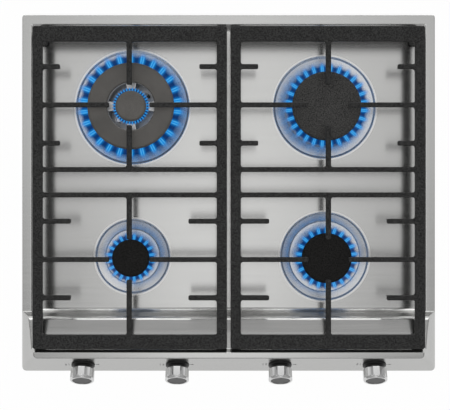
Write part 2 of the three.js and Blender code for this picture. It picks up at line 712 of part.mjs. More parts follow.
function makeGrate(side) {
  const inner = side * GRATE_INNER_X;
  const outer = side * GRATE_OUTER_X;
  const innerFace = side * (GRATE_INNER_X + GRATE_INNER_BAR);
  const outerFace = side * (GRATE_OUTER_X - GRATE_OUTER_BAR);
  const centre = side * BURNER_X;
  const rearCross = CROSS_BARS_Y + CROSS_BAR_SPACING / 2;
  const frontCross = CROSS_BARS_Y - CROSS_BAR_SPACING / 2;
  const half = FINGER_WIDTH / 2;
  const tip = FINGER_TIP_RADIUS;
  const crossBars = [rearCross, frontCross].flatMap((y) => [
    sideFinger(innerFace, centre, y),
    sideFinger(outerFace, centre, y),
  ]);
  const longFingers = [
    longFinger(centre, GRATE_REAR_Y - GRATE_REAR_BAR, REAR_BURNER_Y + tip),
    longFinger(centre, rearCross + half, REAR_BURNER_Y - tip),
    longFinger(centre, frontCross - half, FRONT_BURNER_Y + tip),
    longFinger(centre, GRATE_FRONT_Y + GRATE_FRONT_BAR, FRONT_BURNER_Y - tip),
  ];
  return joined([
    ...grateFrame(inner, outer, innerFace, outerFace),
    ...crossBars,
    ...longFingers,
    ...grateSupportOverBurner(REAR_BURNER_Y, REAR_STUB_LENGTH, innerFace, outerFace, centre),
    ...grateSupportOverBurner(FRONT_BURNER_Y, FRONT_STUB_LENGTH, innerFace, outerFace, centre),
    ...legSpans(side).map(([xa, xb]) =>
      block(xa, xb, GRATE_REAR_Y, GRATE_REAR_Y - GRATE_REAR_BAR, rearFootTop() + GAP, GRATE_TOP_Z)),
  ]);
}

const rearFootTop = () => WELL_FLOOR_Z + GAP + FOOT_HEIGHT;

// The two legs' extents in X: the inner one, then the outer one.
function legSpans(side) {
  return [
    [side * GRATE_INNER_X, side * (GRATE_INNER_X + LEG_WIDTH)],
    [side * GRATE_OUTER_X, side * (GRATE_OUTER_X - LEG_WIDTH)],
  ];
}

function makeRearFoot([xa, xb]) {
  return block(xa, xb, GRATE_REAR_Y, GRATE_REAR_Y - GRATE_REAR_BAR, WELL_FLOOR_Z + GAP, rearFootTop());
}

// A pad that is flat on top and follows the sloping shoulder below.
function makeFrontFoot([xa, xb]) {
  const from = GRATE_FRONT_Y + GRATE_FILLET;
  const to = GRATE_FRONT_Y + GRATE_FRONT_BAR - GRATE_FILLET;
  const top = GRATE_BOTTOM_Z - GAP;
  const side = polygon([
    [from, shoulderZ(from) + GAP],
    [to, shoulderZ(to) + GAP],
    [to, top],
    [from, top],
  ]);
  return alongX(side, Math.min(xa, xb), Math.max(xa, xb));
}

function shoulderZ(y) {
  const share = (y - SHOULDER_FRONT_Y) / SHOULDER_DEPTH;
  return FLANGE_Z + THREE.MathUtils.lerp(SHOULDER_FRONT_HEIGHT, SHOULDER_REAR_HEIGHT, share);
}

// ---- Burners ----

const crownRadius = (burner) => burner.cap / 2 - CAP_OVERHANG;
const cupRadius = (burner) => crownRadius(burner) - CUP_INSET;
const shankRadius = (burner) => cupRadius(burner) - CUP_SHANK_INSET;
const cupBore = (burner) => cupRadius(burner) - CUP_WALL;

function electrodeReach(burner) {
  if (burner.double) return (INNER_CAP_RADIUS + ANNULUS_INNER_RADIUS) / 2;
  return crownRadius(burner) - ELECTRODE_CROWN_INSET;
}

function electrodePlace(burner) {
  const reach = electrodeReach(burner);
  const x = burner.side * BURNER_X + reach * Math.cos(ELECTRODE_ANGLE);
  return [x, burner.y + reach * Math.sin(ELECTRODE_ANGLE), 0];
}

function electrodeHole(burner, level) {
  return disc(ELECTRODE_RADIUS + GAP, level - CUP_FLOOR, level + CUP_RISE / 2)
    .translate(electrodePlace(burner));
}

function makeCup(burner) {
  const flangeLow = DISH_FLOOR_Z + GAP;
  const flangeHigh = flangeLow + CUP_FLANGE_THICKNESS;
  const flange = cupRadius(burner) + CUP_FLANGE_OVERHANG;
  const profile = [
    [0, CUP_BOTTOM_Z],
    [shankRadius(burner), CUP_BOTTOM_Z],
    [shankRadius(burner), flangeLow],
    [flange, flangeLow],
    [flange, flangeHigh],
    [cupRadius(burner), flangeHigh],
    [cupRadius(burner), CUP_TOP_Z],
    [cupBore(burner), CUP_TOP_Z],
    [cupBore(burner), flangeLow],
    [shankRadius(burner) - CUP_WALL, flangeLow],
    [shankRadius(burner) - CUP_WALL, CUP_BOTTOM_Z + CUP_FLOOR],
    [0, CUP_BOTTOM_Z + CUP_FLOOR],
  ];
  const place = [burner.side * BURNER_X, burner.y, 0];
  const body = turned(profile, BURNER_SEGMENTS).translate(place);
  const hole = burner.double
    ? electrodeHole(burner, CUP_BOTTOM_Z + CUP_FLOOR / 2)
    : electrodeHole(burner, flangeLow);
  return body.subtract(hole);
}

// One radial slot per flame, cut down from the crown's rim.
function crownPorts(burner, radius) {
  return Array.from({ length: burner.ports }, (_, i) => {
    const slot = new THREE.BoxGeometry(CROWN_WALL + 2 * THROUGH, PORT_WIDTH, PORT_DEPTH + THROUGH);
    slot.translate(radius - CROWN_WALL / 2, 0, CROWN_TOP_Z + (THROUGH - PORT_DEPTH) / 2);
    return solidOf(slot.rotateZ((i + 0.5) * (Math.PI * 2) / burner.ports));
  });
}

function crownSpigot(burner) {
  const outer = cupBore(burner) - SPIGOT_CLEARANCE;
  return ring(
    outer - CROWN_SPIGOT_WALL,
    outer,
    CROWN_BOTTOM_Z - CROWN_SPIGOT_DEPTH,
    CROWN_BOTTOM_Z + CROWN_BASE,
    BURNER_SEGMENTS,
  );
}

function makeSingleCrown(burner) {
  const radius = crownRadius(burner);
  const throat = cupBore(burner) - SPIGOT_CLEARANCE - CROWN_SPIGOT_WALL;
  const bowl = turned([
    [throat, CROWN_BOTTOM_Z],
    [cupRadius(burner), CROWN_BOTTOM_Z],
    [radius, CROWN_BOTTOM_Z + CROWN_BASE],
    [radius, CROWN_TOP_Z],
    [radius - CROWN_WALL, CROWN_TOP_Z],
    [radius - CROWN_WALL, CROWN_BOTTOM_Z + CROWN_BASE + THROUGH],
    [throat, CROWN_BOTTOM_Z + CROWN_BASE],
  ], BURNER_SEGMENTS);
  const body = cutBy(bowl.add(crownSpigot(burner)), crownPorts(burner, radius));
  const notchRadius = ELECTRODE_RADIUS + CROWN_NOTCH_CLEARANCE;
  const notch = disc(notchRadius, CROWN_BOTTOM_Z - THROUGH, CROWN_TOP_Z + THROUGH)
    .translate(electrodePlace(burner));
  return body.translate([burner.side * BURNER_X, burner.y, 0]).subtract(notch);
}

// The air windows between the hub and the trough, one in each quarter, with a bridge between two.
function crownWindows(inner, outer) {
  return [0, 1, 2, 3].map((quarter) => {
    const start = (quarter * Math.PI) / 2;
    const innerTurn = Math.asin(BRIDGE_HALF_WIDTH / inner);
    const outerTurn = Math.asin(BRIDGE_HALF_WIDTH / outer);
    const shape = new THREE.Shape();
    shape.absarc(0, 0, outer, start + outerTurn, start + Math.PI / 2 - outerTurn);
    shape.absarc(0, 0, inner, start + Math.PI / 2 - innerTurn, start + innerTurn, true);
    return prism(shape, CROWN_BOTTOM_Z - THROUGH, CROWN_BOTTOM_Z + CROWN_BASE + THROUGH, WINDOW_STEPS);
  });
}

const hubRadius = () => INNER_CAP_RADIUS - CAP_OVERHANG / 2;
const troughRadius = () => ANNULUS_INNER_RADIUS + CAP_OVERHANG / 2;

function makeDoubleCrown(burner) {
  const radius = crownRadius(burner);
  const hub = hubRadius();
  const trough = troughRadius();
  const wall = (inner, outer) => ring(inner, outer, CROWN_BOTTOM_Z, CROWN_TOP_Z, BURNER_SEGMENTS);
  const baseTop = CROWN_BOTTOM_Z + CROWN_BASE;
  const base = ring(hub - 2 * HUB_WALL, radius, CROWN_BOTTOM_Z, baseTop, BURNER_SEGMENTS);
  const body = joined([
    base,
    wall(hub - HUB_WALL, hub),
    wall(trough, trough + TROUGH_WALL),
    wall(radius - CROWN_WALL, radius),
    crownSpigot(burner),
  ]);
  return cutBy(body, [
    ...crownWindows(hub + WINDOW_MARGIN, trough - WINDOW_MARGIN),
    ...crownPorts(burner, radius),
  ]).translate([burner.side * BURNER_X, burner.y, 0]);
}

// A cap with rounded edges and a locating ring below. inner is 0 for a full disc.
function makeCap(burner, inner, outer, ringRadius) {
  const low = CAP_BOTTOM_Z;
  const high = CAP_BOTTOM_Z + CAP_THICKNESS;
  const innerEdge = inner > 0
    ? [[inner + CAP_EDGE, high], [inner, high - CAP_EDGE], [inner, low]]
    : [[0, high], [0, low]];
  const plate = turned([
    [outer - CAP_EDGE, low],
    [outer, low + CAP_EDGE],
    [outer, high - CAP_EDGE],
    [outer - CAP_EDGE, high],
    ...innerEdge,
  ], BURNER_SEGMENTS);
  const ringBottom = low - CAP_RING_HEIGHT;
  const locator = ring(ringRadius - CAP_RING_WALL, ringRadius, ringBottom, low + THROUGH, BURNER_SEGMENTS);
  return plate.add(locator).translate([burner.side * BURNER_X, burner.y, 0]);
}

// The ceramic body with its metal tip, standing in the cup.
function makeElectrode(burner) {
  const seat = burner.double ? CUP_BOTTOM_Z + CUP_FLOOR : DISH_FLOOR_Z;
  const tail = burner.double ? CUP_BOTTOM_Z : seat - ELECTRODE_TAIL;
  const top = CROWN_TOP_Z - ELECTRODE_HEADROOM;
  return turned([
    [0, tail],
    [ELECTRODE_RADIUS, tail],
    [ELECTRODE_RADIUS, top - ELECTRODE_TIP_LENGTH],
    [ELECTRODE_TIP_RADIUS, top - ELECTRODE_TIP_LENGTH],
    [ELECTRODE_TIP_RADIUS, top],
    [0, top],
  ]).translate(electrodePlace(burner));
}

// ---- Taps, in their own frame ----

// A round bar with a flat on one side.
function flattedRound(radius, flat) {
  const half = Math.acos(flat / radius);
  return new THREE.Shape().absarc(0, 0, radius, half, Math.PI * 2 - half);
}

const flattedBore = () => flattedRound(STEM_RADIUS + GAP, STEM_FLAT + GAP);

function makeKnob() {
  const flutes = new THREE.Shape();
  for (let i = 0; i < KNOB_SIDES; i++) {
    const turn = (i * Math.PI * 2) / KNOB_SIDES;
    const corner = [KNOB_RADIUS * Math.cos(turn), KNOB_RADIUS * Math.sin(turn)];
    if (i === 0) flutes.moveTo(...corner);
    else flutes.lineTo(...corner);
  }
  const flatRadius = KNOB_RADIUS * Math.cos(Math.PI / KNOB_SIDES);
  const ringBack = KNOB_FRONT - KNOB_FRONT_RING;
  const face = KNOB_FRONT - KNOB_FACE_RECESS;
  const shell = prism(flutes, KNOB_BACK, ringBack);
  const front = turned([
    [0, ringBack - THROUGH],
    [flatRadius, ringBack - THROUGH],
    [flatRadius, KNOB_FRONT - CAP_EDGE],
    [flatRadius - CAP_EDGE, KNOB_FRONT],
    [KNOB_FACE_RADIUS, KNOB_FRONT],
    [KNOB_FACE_RADIUS, face],
    [0, face],
  ], 2 * KNOB_SIDES);
  const hollow = ring(KNOB_HUB_RADIUS, flatRadius - KNOB_WALL, KNOB_BACK - THROUGH, ringBack - THROUGH);
  const behindHub = disc(KNOB_HUB_RADIUS + THROUGH, KNOB_BACK - THROUGH, KNOB_HUB_BACK);
  const bore = prism(flattedBore(), KNOB_BACK - THROUGH, STEM_OUTER_END + GAP, STEM_STEPS);
  return cutBy(shell.add(front), [hollow, behindHub, bore]);
}

function makeBezel() {
  return turned([
    [BEZEL_BORE, -BEZEL_SPIGOT_DEPTH],
    [BEZEL_SPIGOT_RADIUS, -BEZEL_SPIGOT_DEPTH],
    [BEZEL_SPIGOT_RADIUS, GAP],
    [BEZEL_RADIUS, GAP],
    [BEZEL_RADIUS, BEZEL_FLANGE],
    [BEZEL_NECK_RADIUS, 2 * BEZEL_FLANGE],
    [BEZEL_NECK_RADIUS, BEZEL_HEIGHT],
    [BEZEL_BORE, BEZEL_HEIGHT],
  ], BEZEL_SEGMENTS);
}

const makeStem = () =>
  prism(flattedRound(STEM_RADIUS, STEM_FLAT), STEM_INNER_END, STEM_OUTER_END, STEM_STEPS);

function makePlug() {
  const rear = PLUG_FRONT - PLUG_LENGTH;
  const cone = turned([
    [0, rear],
    [PLUG_REAR_RADIUS, rear],
    [PLUG_FRONT_RADIUS, PLUG_FRONT],
    [0, PLUG_FRONT],
  ], PLUG_SEGMENTS);
  const bore = prism(flattedBore(), PLUG_FRONT - PLUG_BORE_DEPTH, PLUG_FRONT + THROUGH, STEM_STEPS);
  return cone.subtract(bore);
}

// A short pipe stub, standing on Y and centred.
const portStub = (radius, length) =>
  solidOf(new THREE.CylinderGeometry(radius, radius, length + THROUGH, SMALL_SEGMENTS));

// outletSide is -1 or 1: the side that the supply pipe leaves from.
function makeTapBody(outletSide) {
  const halfWidth = TAP_BODY_WIDTH / 2;
  const halfHeight = TAP_BODY_HEIGHT / 2;
  const core = block(-halfWidth, halfWidth, -halfHeight, halfHeight, TAP_BODY_REAR, TAP_BODY_FRONT);
  const neck = disc(TAP_NECK_RADIUS, TAP_BODY_FRONT - THROUGH, TAP_NECK_FRONT);
  const magnet = disc(MAGNET_RADIUS, TAP_BODY_REAR - MAGNET_LENGTH, TAP_BODY_REAR + THROUGH);
  const outletMiddle = outletSide * (halfWidth + (OUTLET_LENGTH - THROUGH) / 2);
  const outlet = portStub(OUTLET_RADIUS, OUTLET_LENGTH)
    .rotate([0, 0, 90])
    .translate([outletMiddle, 0, OUTLET_POSITION]);
  const inletMiddle = -halfHeight - (INLET_LENGTH - THROUGH) / 2;
  const inlet = portStub(INLET_RADIUS, INLET_LENGTH).translate([0, inletMiddle, INLET_POSITION]);
  const plugRear = PLUG_FRONT - PLUG_LENGTH - GAP;
  const cavity = turned([
    [0, plugRear],
    [PLUG_REAR_RADIUS + GAP, plugRear],
    [PLUG_FRONT_RADIUS + GAP, PLUG_FRONT + GAP],
    [0, PLUG_FRONT + GAP],
  ], PLUG_SEGMENTS);
  const stemBore = disc(STEM_RADIUS + GAP, PLUG_FRONT - THROUGH, TAP_NECK_FRONT + THROUGH);
  return cutBy(joined([core, neck, magnet, outlet, inlet]), [cavity, stemBore]);
}

// ---- Gas train ----

const manifoldAxis = () => fromTap(0, [0, -INLET_DROP, INLET_POSITION]);
const inletX = () => BOX_WIDTH / 2 - BOX_SHEET - MANIFOLD_SIDE_MARGIN - MANIFOLD_RADIUS;

function makeManifold() {
  const axis = manifoldAxis();
  const points = [
    new THREE.Vector3(KNOB_XS[0] - MANIFOLD_OVERHANG, axis.y, axis.z),
    new THREE.Vector3(inletX(), axis.y, axis.z),
    new THREE.Vector3(inletX(), INLET_Y - ELBOW_RADIUS - GAP, MANIFOLD_END_Z),
  ];
  return swept(MANIFOLD_RADIUS, MANIFOLD_BORE, points, MANIFOLD_BEND);
}

// The inlet stands on end: its thread faces down through the box's floor.
function makeElbow() {
  const column = disc(ELBOW_RADIUS, ELBOW_BOTTOM_Z, ELBOW_TOP_Z);
  const flat = block(-ELBOW_BORE, ELBOW_BORE, -ELBOW_RADIUS, 0, MANIFOLD_END_Z - ELBOW_BORE, ELBOW_TOP_Z);
  const down = disc(ELBOW_BORE, ELBOW_BOTTOM_Z - THROUGH, MANIFOLD_END_Z);
  const across = alongYDisc(MANIFOLD_BORE, -ELBOW_RADIUS - THROUGH, 0).translate([0, 0, MANIFOLD_END_Z]);
  return cutBy(column.add(flat), [down, across]).translate([inletX(), INLET_Y, 0]);
}

// From a tap's side outlet, down under the panel, and up to the front of its burner's cup.
function makeSupplyPipe(tap) {
  const burner = tap.burner;
  const start = TAP_BODY_WIDTH / 2 + OUTLET_LENGTH + GAP;
  const outlet = fromTap(tap.x, [tap.outletSide * start, 0, OUTLET_POSITION]);
  const runX = outlet.x + tap.outletSide * PIPE_SIDE_RUN;
  const cupX = burner.side * BURNER_X;
  const endY = burner.y - shankRadius(burner) - GAP;
  const approach = burner.y === REAR_BURNER_Y ? REAR_PIPE_APPROACH : FRONT_PIPE_APPROACH;
  const turn = burner.y === REAR_BURNER_Y ? REAR_PIPE_TURN : FRONT_PIPE_TURN;
  const points = [
    outlet,
    new THREE.Vector3(runX, outlet.y, outlet.z),
    new THREE.Vector3(runX, FRONT_Y + PIPE_DIVE_END, PIPE_Z),
    new THREE.Vector3(runX, burner.y - turn, PIPE_Z),
    new THREE.Vector3(cupX, endY - approach, PIPE_Z),
    new THREE.Vector3(cupX, endY, PIPE_Z),
  ];
  return swept(PIPE_RADIUS, 0, points, PIPE_BEND);
}

// ---- Ignition and mains entry ----

function makeIgnitionModule() {
  const half = MODULE_WIDTH / 2;
  const rear = BOX_DEPTH / 2 - BOX_SHEET - MODULE_REAR_CLEARANCE;
  const low = BOX_SHEET + GAP;
  return block(-half, half, rear - MODULE_DEPTH, rear, low, low + MODULE_HEIGHT);
}

function makeGland() {
  const wallInside = BOX_DEPTH / 2 - BOX_SHEET - GAP;
  const wallOutside = BOX_DEPTH / 2 + GAP;
  const profile = [
    [GLAND_BORE, wallInside - GLAND_NUT_LENGTH],
    [GLAND_NUT_RADIUS, wallInside - GLAND_NUT_LENGTH],
    [GLAND_NUT_RADIUS, wallInside],
    [GLAND_BODY_RADIUS, wallInside],
    [GLAND_BODY_RADIUS, wallOutside],
    [GLAND_NUT_RADIUS, wallOutside],
    [GLAND_NUT_RADIUS, wallOutside + GLAND_HEAD_LENGTH],
    [GLAND_BORE, wallOutside + GLAND_HEAD_LENGTH],
  ];
  return turned(profile).rotate([-90, 0, 0]).translate([GLAND_X, 0, GLAND_Z]);
}

// ---- Assembly ----

addPiece(cooktop, 'top_panel', makePanel(), STEEL);
addPiece(cooktop, 'burner_box', makeBox(), ZINC);
addPiece(cooktop, 'flange_seal', makeSeal(), FOAM);

[['left', -1], ['right', 1]].forEach(([name, side]) => {
  addPiece(cooktop, `clamp_${name}`, makeClamp(side), ZINC);
  const grate = new THREE.Group();
  addPiece(grate, `grate_${name}`, makeGrate(side), IRON);
  legSpans(side).forEach((span, i) => {
    const where = i === 0 ? 'inner' : 'outer';
    addPiece(grate, `grate_foot_${name}_rear_${where}`, makeRearFoot(span), RUBBER);
    addPiece(grate, `grate_foot_${name}_front_${where}`, makeFrontFoot(span), RUBBER);
  });
  cooktop.add(grate);
});

BURNERS.forEach((burner) => {
  const radius = crownRadius(burner);
  const group = new THREE.Group();
  addPiece(group, `cup_${burner.name}`, makeCup(burner), ALUMINIUM);
  addPiece(group, `electrode_${burner.name}`, makeElectrode(burner), CERAMIC);
  const locator = radius - CROWN_WALL - SPIGOT_CLEARANCE;
  if (burner.double) {
    const hubLocator = hubRadius() - HUB_WALL - SPIGOT_CLEARANCE;
    addPiece(group, `crown_${burner.name}`, makeDoubleCrown(burner), ALUMINIUM);
    addPiece(group, `cap_${burner.name}_outer`,
      makeCap(burner, ANNULUS_INNER_RADIUS, burner.cap / 2, locator), WARM_ENAMEL);
    addPiece(group, `cap_${burner.name}_inner`,
      makeCap(burner, 0, INNER_CAP_RADIUS, hubLocator), WARM_ENAMEL);
  } else {
    addPiece(group, `crown_${burner.name}`, makeSingleCrown(burner), ALUMINIUM);
    addPiece(group, `cap_${burner.name}`, makeCap(burner, 0, burner.cap / 2, locator), ENAMEL);
  }
  cooktop.add(group);
});

// The outer taps feed the rear burners from their inner sides, the inner taps the front ones.
const TAPS = [
  { x: KNOB_XS[0], outletSide: 1, burner: BURNERS[0] },
  { x: KNOB_XS[1], outletSide: -1, burner: BURNERS[3] },
  { x: KNOB_XS[2], outletSide: 1, burner: BURNERS[2] },
  { x: KNOB_XS[3], outletSide: -1, burner: BURNERS[1] },
];

TAPS.forEach((tap, i) => {
  const number = i + 1;
  const group = new THREE.Group();
  tapMatrix(tap.x).decompose(group.position, group.quaternion, group.scale);
  addPiece(group, `knob_${number}`, makeKnob(), CHROME);
  addPiece(group, `bezel_${number}`, makeBezel(), BLACK_PLASTIC);
  addPiece(group, `valve_stem_${number}`, makeStem(), ZINC);
  addPiece(group, `valve_plug_${number}`, makePlug(), BRASS);
  addPiece(group, `valve_body_${number}`, makeTapBody(tap.outletSide), BRASS);
  cooktop.add(group);
  addPiece(cooktop, `supply_pipe_${number}`, makeSupplyPipe(tap), ALUMINIUM);
});

addPiece(cooktop, 'gas_manifold', makeManifold(), ZINC);
addPiece(cooktop, 'gas_inlet_elbow', makeElbow(), BRASS);
addPiece(cooktop, 'ignition_module', makeIgnitionModule(), GREY_PLASTIC);
addPiece(cooktop, 'cable_gland', makeGland(), BLACK_PLASTIC);

export default cooktop;
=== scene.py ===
"""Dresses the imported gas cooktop: smooth detailed pieces over the CAD frame, materials, light and camera.

Lengths inside this script are millimetres in the CAD frame; objects are stored in metres.
X points right, Y to the rear, Z up, and the origin is the middle of the burner box's underside.
"""

import math

import bmesh
import bpy
from mathutils import Matrix, Vector
from mathutils.geometry import delaunay_2d_cdt


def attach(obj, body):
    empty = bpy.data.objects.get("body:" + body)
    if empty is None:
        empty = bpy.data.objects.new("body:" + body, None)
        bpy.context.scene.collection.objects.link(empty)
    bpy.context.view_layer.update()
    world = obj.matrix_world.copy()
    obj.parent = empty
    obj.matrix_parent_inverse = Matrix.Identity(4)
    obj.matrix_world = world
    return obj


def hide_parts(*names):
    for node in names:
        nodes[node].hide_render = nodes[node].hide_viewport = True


MM = 0.001

# ---- Sizes of the solids that these pieces dress ----

FLANGE_Z = 50.0
RIM_BOTTOM_Z = 45.0
WELL_Z = 44.0
DISH_Z = 40.0
SHEET = 1.2
HALF_X = 297.5
FRONT_Y = -256.5
REAR_Y = 256.5
WELL_TOP_INSET = 14.0
WELL_WALL_RUN = 8.0
SIDE_SLOPE = 0.54
# The console from the side, as (y, height above the flange). Its rear foot is steeper than the solid's.
CONSOLE = [
    (-256.5, 0.0),
    (-230.5, 45.0),
    (-222.0, 45.0),
    (-218.0, 37.3),
    (-194.0, 31.5),
    (-175.4, 24.6),
    (-171.0, 0.0),
]
BURNER_X = 138.8
REAR_BURNER_Y = 123.4
FRONT_BURNER_Y = -92.1
# Radii of the dish's rim and floor, of the cap and of the flame tips, and the number of flame slots.
BURNERS = {
    "rear_left": dict(x=-BURNER_X, y=REAR_BURNER_Y, dish=81.5, floor=65.0, cap=61.5, ports=26, reach=78.0),
    "rear_right": dict(x=BURNER_X, y=REAR_BURNER_Y, dish=73.5, floor=56.0, cap=49.0, ports=28, reach=63.5),
    "front_right": dict(x=BURNER_X, y=FRONT_BURNER_Y, dish=63.5, floor=50.5, cap=35.5, ports=22, reach=48.0),
    "front_left": dict(x=-BURNER_X, y=FRONT_BURNER_Y, dish=53.5, floor=38.5, cap=26.5, ports=20, reach=38.0),
}
KNOB_XS = [-206.5, -72.8, 72.8, 206.5]
CROWN_BOTTOM_Z = 55.6
CROWN_TOP_Z = 71.6
CAP_BOTTOM_Z = 71.9
CAP_TOP_Z = 76.9
GRATE_BOTTOM_Z = 88.0
GRATE_TOP_Z = 99.0
CAP_OVERHANG = 2.5
CUP_INSET = 5.0
CUP_SHANK_INSET = 3.0
CUP_HOLE_CLEARANCE = 1.0


# ---- Mesh helpers ----

def soften(points, radii, steps=4, closed=True):
    """Replaces the corners of a 2D chain by arcs. A radius of 0 leaves the corner as it is."""
    pts = [Vector(p) for p in points]
    count = len(pts)
    if not hasattr(radii, "__len__"):
        radii = [radii] * count
    result = []
    for i, corner in enumerate(pts):
        inner = closed or 0 < i < count - 1
        if not inner or radii[i] <= 0:
            result.append(corner.copy())
            continue
        before = (pts[i - 1] - corner).normalized()
        after = (pts[(i + 1) % count] - corner).normalized()
        half = before.angle(after) / 2
        if half > math.pi / 2 - 1e-3:
            result.append(corner.copy())
            continue
        reach = radii[i] / math.tan(half)
        middle = corner + (before + after).normalized() * (radii[i] / math.sin(half))
        start = corner + before * reach - middle
        end = corner + after * reach - middle
        sweep = start.angle_signed(end)
        for k in range(steps + 1):
            turn = Matrix.Rotation(-sweep * k / steps, 2)
            result.append(middle + turn @ start)
    return result


def offset_loop(loop, distance):
    """Moves a closed loop to the left of its direction."""
    moved = []
    count = len(loop)
    for i, point in enumerate(loop):
        before = (point - loop[i - 1]).normalized()
        after = (loop[(i + 1) % count] - point).normalized()
        left_a = Vector((-before.y, before.x))
        left_b = Vector((-after.y, after.x))
        mitre = (left_a + left_b).normalized()
        moved.append(point + mitre * (distance / max(mitre.dot(left_a), 0.3)))
    return moved


def area_of(loop):
    return sum(a.x * b.y - b.x * a.y for a, b in zip(loop, loop[1:] + loop[:1])) / 2


def turned_way(loop, ccw):
    return loop if (area_of(loop) > 0) == ccw else loop[::-1]


def inside(point, loop):
    hit = False
    for a, b in zip(loop, loop[1:] + loop[:1]):
        if (a.y > point.y) != (b.y > point.y):
            if point.x < (b.x - a.x) * (point.y - a.y) / (b.y - a.y) + a.x:
                hit = not hit
    return hit


def fill(loops):
    """Triangles (as indices into the joined loops) of the area that an odd number of loops holds."""
    points = [p for loop in loops for p in loop]
    edges = []
    start = 0
    for loop in loops:
        count = len(loop)
        edges += [(start + i, start + (i + 1) % count) for i in range(count)]
        start += count
    verts, _, faces, origin, _, _ = delaunay_2d_cdt(points, edges, [], 1, 1e-6)
    kept = []
    for face in faces:
        centre = sum((verts[i] for i in face), Vector((0, 0))) / len(face)
        if sum(inside(centre, loop) for loop in loops) % 2 == 1:
            kept.append([origin[i][0] for i in face])
    return kept


def rectangle(xa, xb, ya, yb):
    return [(xa, ya), (xb, ya), (xb, yb), (xa, yb)]


def circle(x, y, radius, segments):
    turns = [2 * math.pi * k / segments for k in range(segments)]
    return [Vector((x + radius * math.cos(turn), y + radius * math.sin(turn))) for turn in turns]


def add_object(name, data):
    obj = bpy.data.objects.new(name, data)
    bpy.context.scene.collection.objects.link(obj)
    return obj


def finish_mesh(name, bm, materials, smooth_angle=30.0, weighted=True):
    """Makes an object in metres from a bmesh in millimetres."""
    bmesh.ops.recalc_face_normals(bm, faces=bm.faces)
    bmesh.ops.scale(bm, vec=(MM, MM, MM), verts=bm.verts)
    mesh = bpy.data.meshes.new(name)
    bm.to_mesh(mesh)
    bm.free()
    for material in materials:
        mesh.materials.append(material)
    obj = add_object(name, mesh)
    mesh.shade_smooth()
    mesh.set_sharp_from_angle(angle=math.radians(smooth_angle))
    if weighted:
        normals = obj.modifiers.new("normals", "WEIGHTED_NORMAL")
        normals.keep_sharp = True
        normals.weight = 60
    return obj


def lathe_into(bm, profile, segments, centre=(0.0, 0.0), closed=True, material=0, materials=None):
    """Turns a profile of (radius, z) about a vertical axis. materials gives each stretch its own slot."""
    rings = []
    for radius, z in profile:
        if radius < 1e-6:
            rings.append([bm.verts.new((centre[0], centre[1], z))])
            continue
        rings.append([bm.verts.new((p.x, p.y, z)) for p in circle(*centre, radius, segments)])
    pairs = list(zip(range(len(rings)), range(1, len(rings))))
    if closed:
        pairs.append((len(rings) - 1, 0))
    for index, (a, b) in enumerate(pairs):
        low, high = rings[a], rings[b]
        slot = materials[index] if materials else material
        for k in range(segments):
            n = (k + 1) % segments
            corners = [low[k % len(low)], low[n % len(low)], high[n % len(high)], high[k % len(high)]]
            unique = list(dict.fromkeys(corners))
            if len(unique) >= 3:
                face = bm.faces.new(unique)
                face.material_index = slot
    return rings


def lathe(name, profile, segments, centre, materials, slots, smooth_angle):
    bm = bmesh.new()
    lathe_into(bm, profile, segments, centre, materials=slots)
    return finish_mesh(name, bm, materials, smooth_angle)


def slab_into(bm, loops, levels, material=0):
    """A plate with holes. loops: the outline first, then the holes. levels: (inset, z) from the bottom up."""
    loops = [turned_way(loop, i == 0) for i, loop in enumerate(loops)]
    rows = []
    for inset, z in levels:
        moved = [offset_loop(loop, inset) for loop in loops]
        row = [[bm.verts.new((p.x, p.y, z)) for p in loop] for loop in moved]
        rows.append((moved, row))
    for (_, low), (_, high) in zip(rows, rows[1:]):
        for ring_low, ring_high in zip(low, high):
            count = len(ring_low)
            for i in range(count):
                n = (i + 1) % count
                wall = bm.faces.new((ring_low[i], ring_low[n], ring_high[n], ring_high[i]))
                wall.material_index = material
    for moved, row in (rows[0], rows[-1]):
        flat = [v for ring in row for v in ring]
        for triangle in fill(moved):
            bm.faces.new([flat[i] for i in triangle]).material_index = material


# ---- Materials ----

def grey(level):
    return (level, level, level)


def set_inputs(target, values):
    for key, value in values.items():
        target.inputs[key].default_value = value


def shader_of(made):
    return made.node_tree.nodes["Principled BSDF"]


def material(name, color, roughness, metallic=0.0, anisotropic=0.0, specular=0.5):
    made = bpy.data.materials.new(name)
    made.use_nodes = True
    values = {
        "Base Color": (*color, 1.0), "Roughness": roughness, "Metallic": metallic,
        "Anisotropic": anisotropic, "Specular IOR Level": specular,
    }
    set_inputs(shader_of(made), values)
    return made


def node(made, kind, **values):
    new = made.node_tree.nodes.new(kind)
    for key, value in values.items():
        setattr(new, key, value)
    return new


def link(made, output, target):
    made.node_tree.links.new(output, target)


def stretched_noise(made, scale, detail=2.0, roughness=0.5, seed=0.0):
    """Noise over object space. scale is (x, y, z) features per metre."""
    place = node(made, "ShaderNodeTexCoord")
    mapping = node(made, "ShaderNodeMapping")
    set_inputs(mapping, {"Scale": scale, "Location": (seed, seed * 1.7, seed * 0.6)})
    noise = node(made, "ShaderNodeTexNoise")
    set_inputs(noise, {"Scale": 1.0, "Detail": detail, "Roughness": roughness})
    link(made, place.outputs["Object"], mapping.inputs["Vector"])
    link(made, mapping.outputs["Vector"], noise.inputs["Vector"])
    return noise


def ramp(made, source, stops):
    """A colour ramp. stops: (position, value or colour)."""
    band = node(made, "ShaderNodeValToRGB")
    elements = band.color_ramp.elements
    elements.remove(elements[1])
    for i, (position, value) in enumerate(stops):
        colour = (*value, 1.0) if hasattr(value, "__len__") else (*grey(value), 1.0)
        stop = elements.new(position) if i else elements[0]
        stop.position = position
        stop.color = colour
    link(made, source, band.inputs["Fac"])
    return band.outputs["Color"]


def bump(made, height, strength, distance):
    bumper = node(made, "ShaderNodeBump")
    set_inputs(bumper, {"Strength": strength, "Distance": distance})
    link(made, height, bumper.inputs["Height"])
    return bumper.outputs["Normal"]


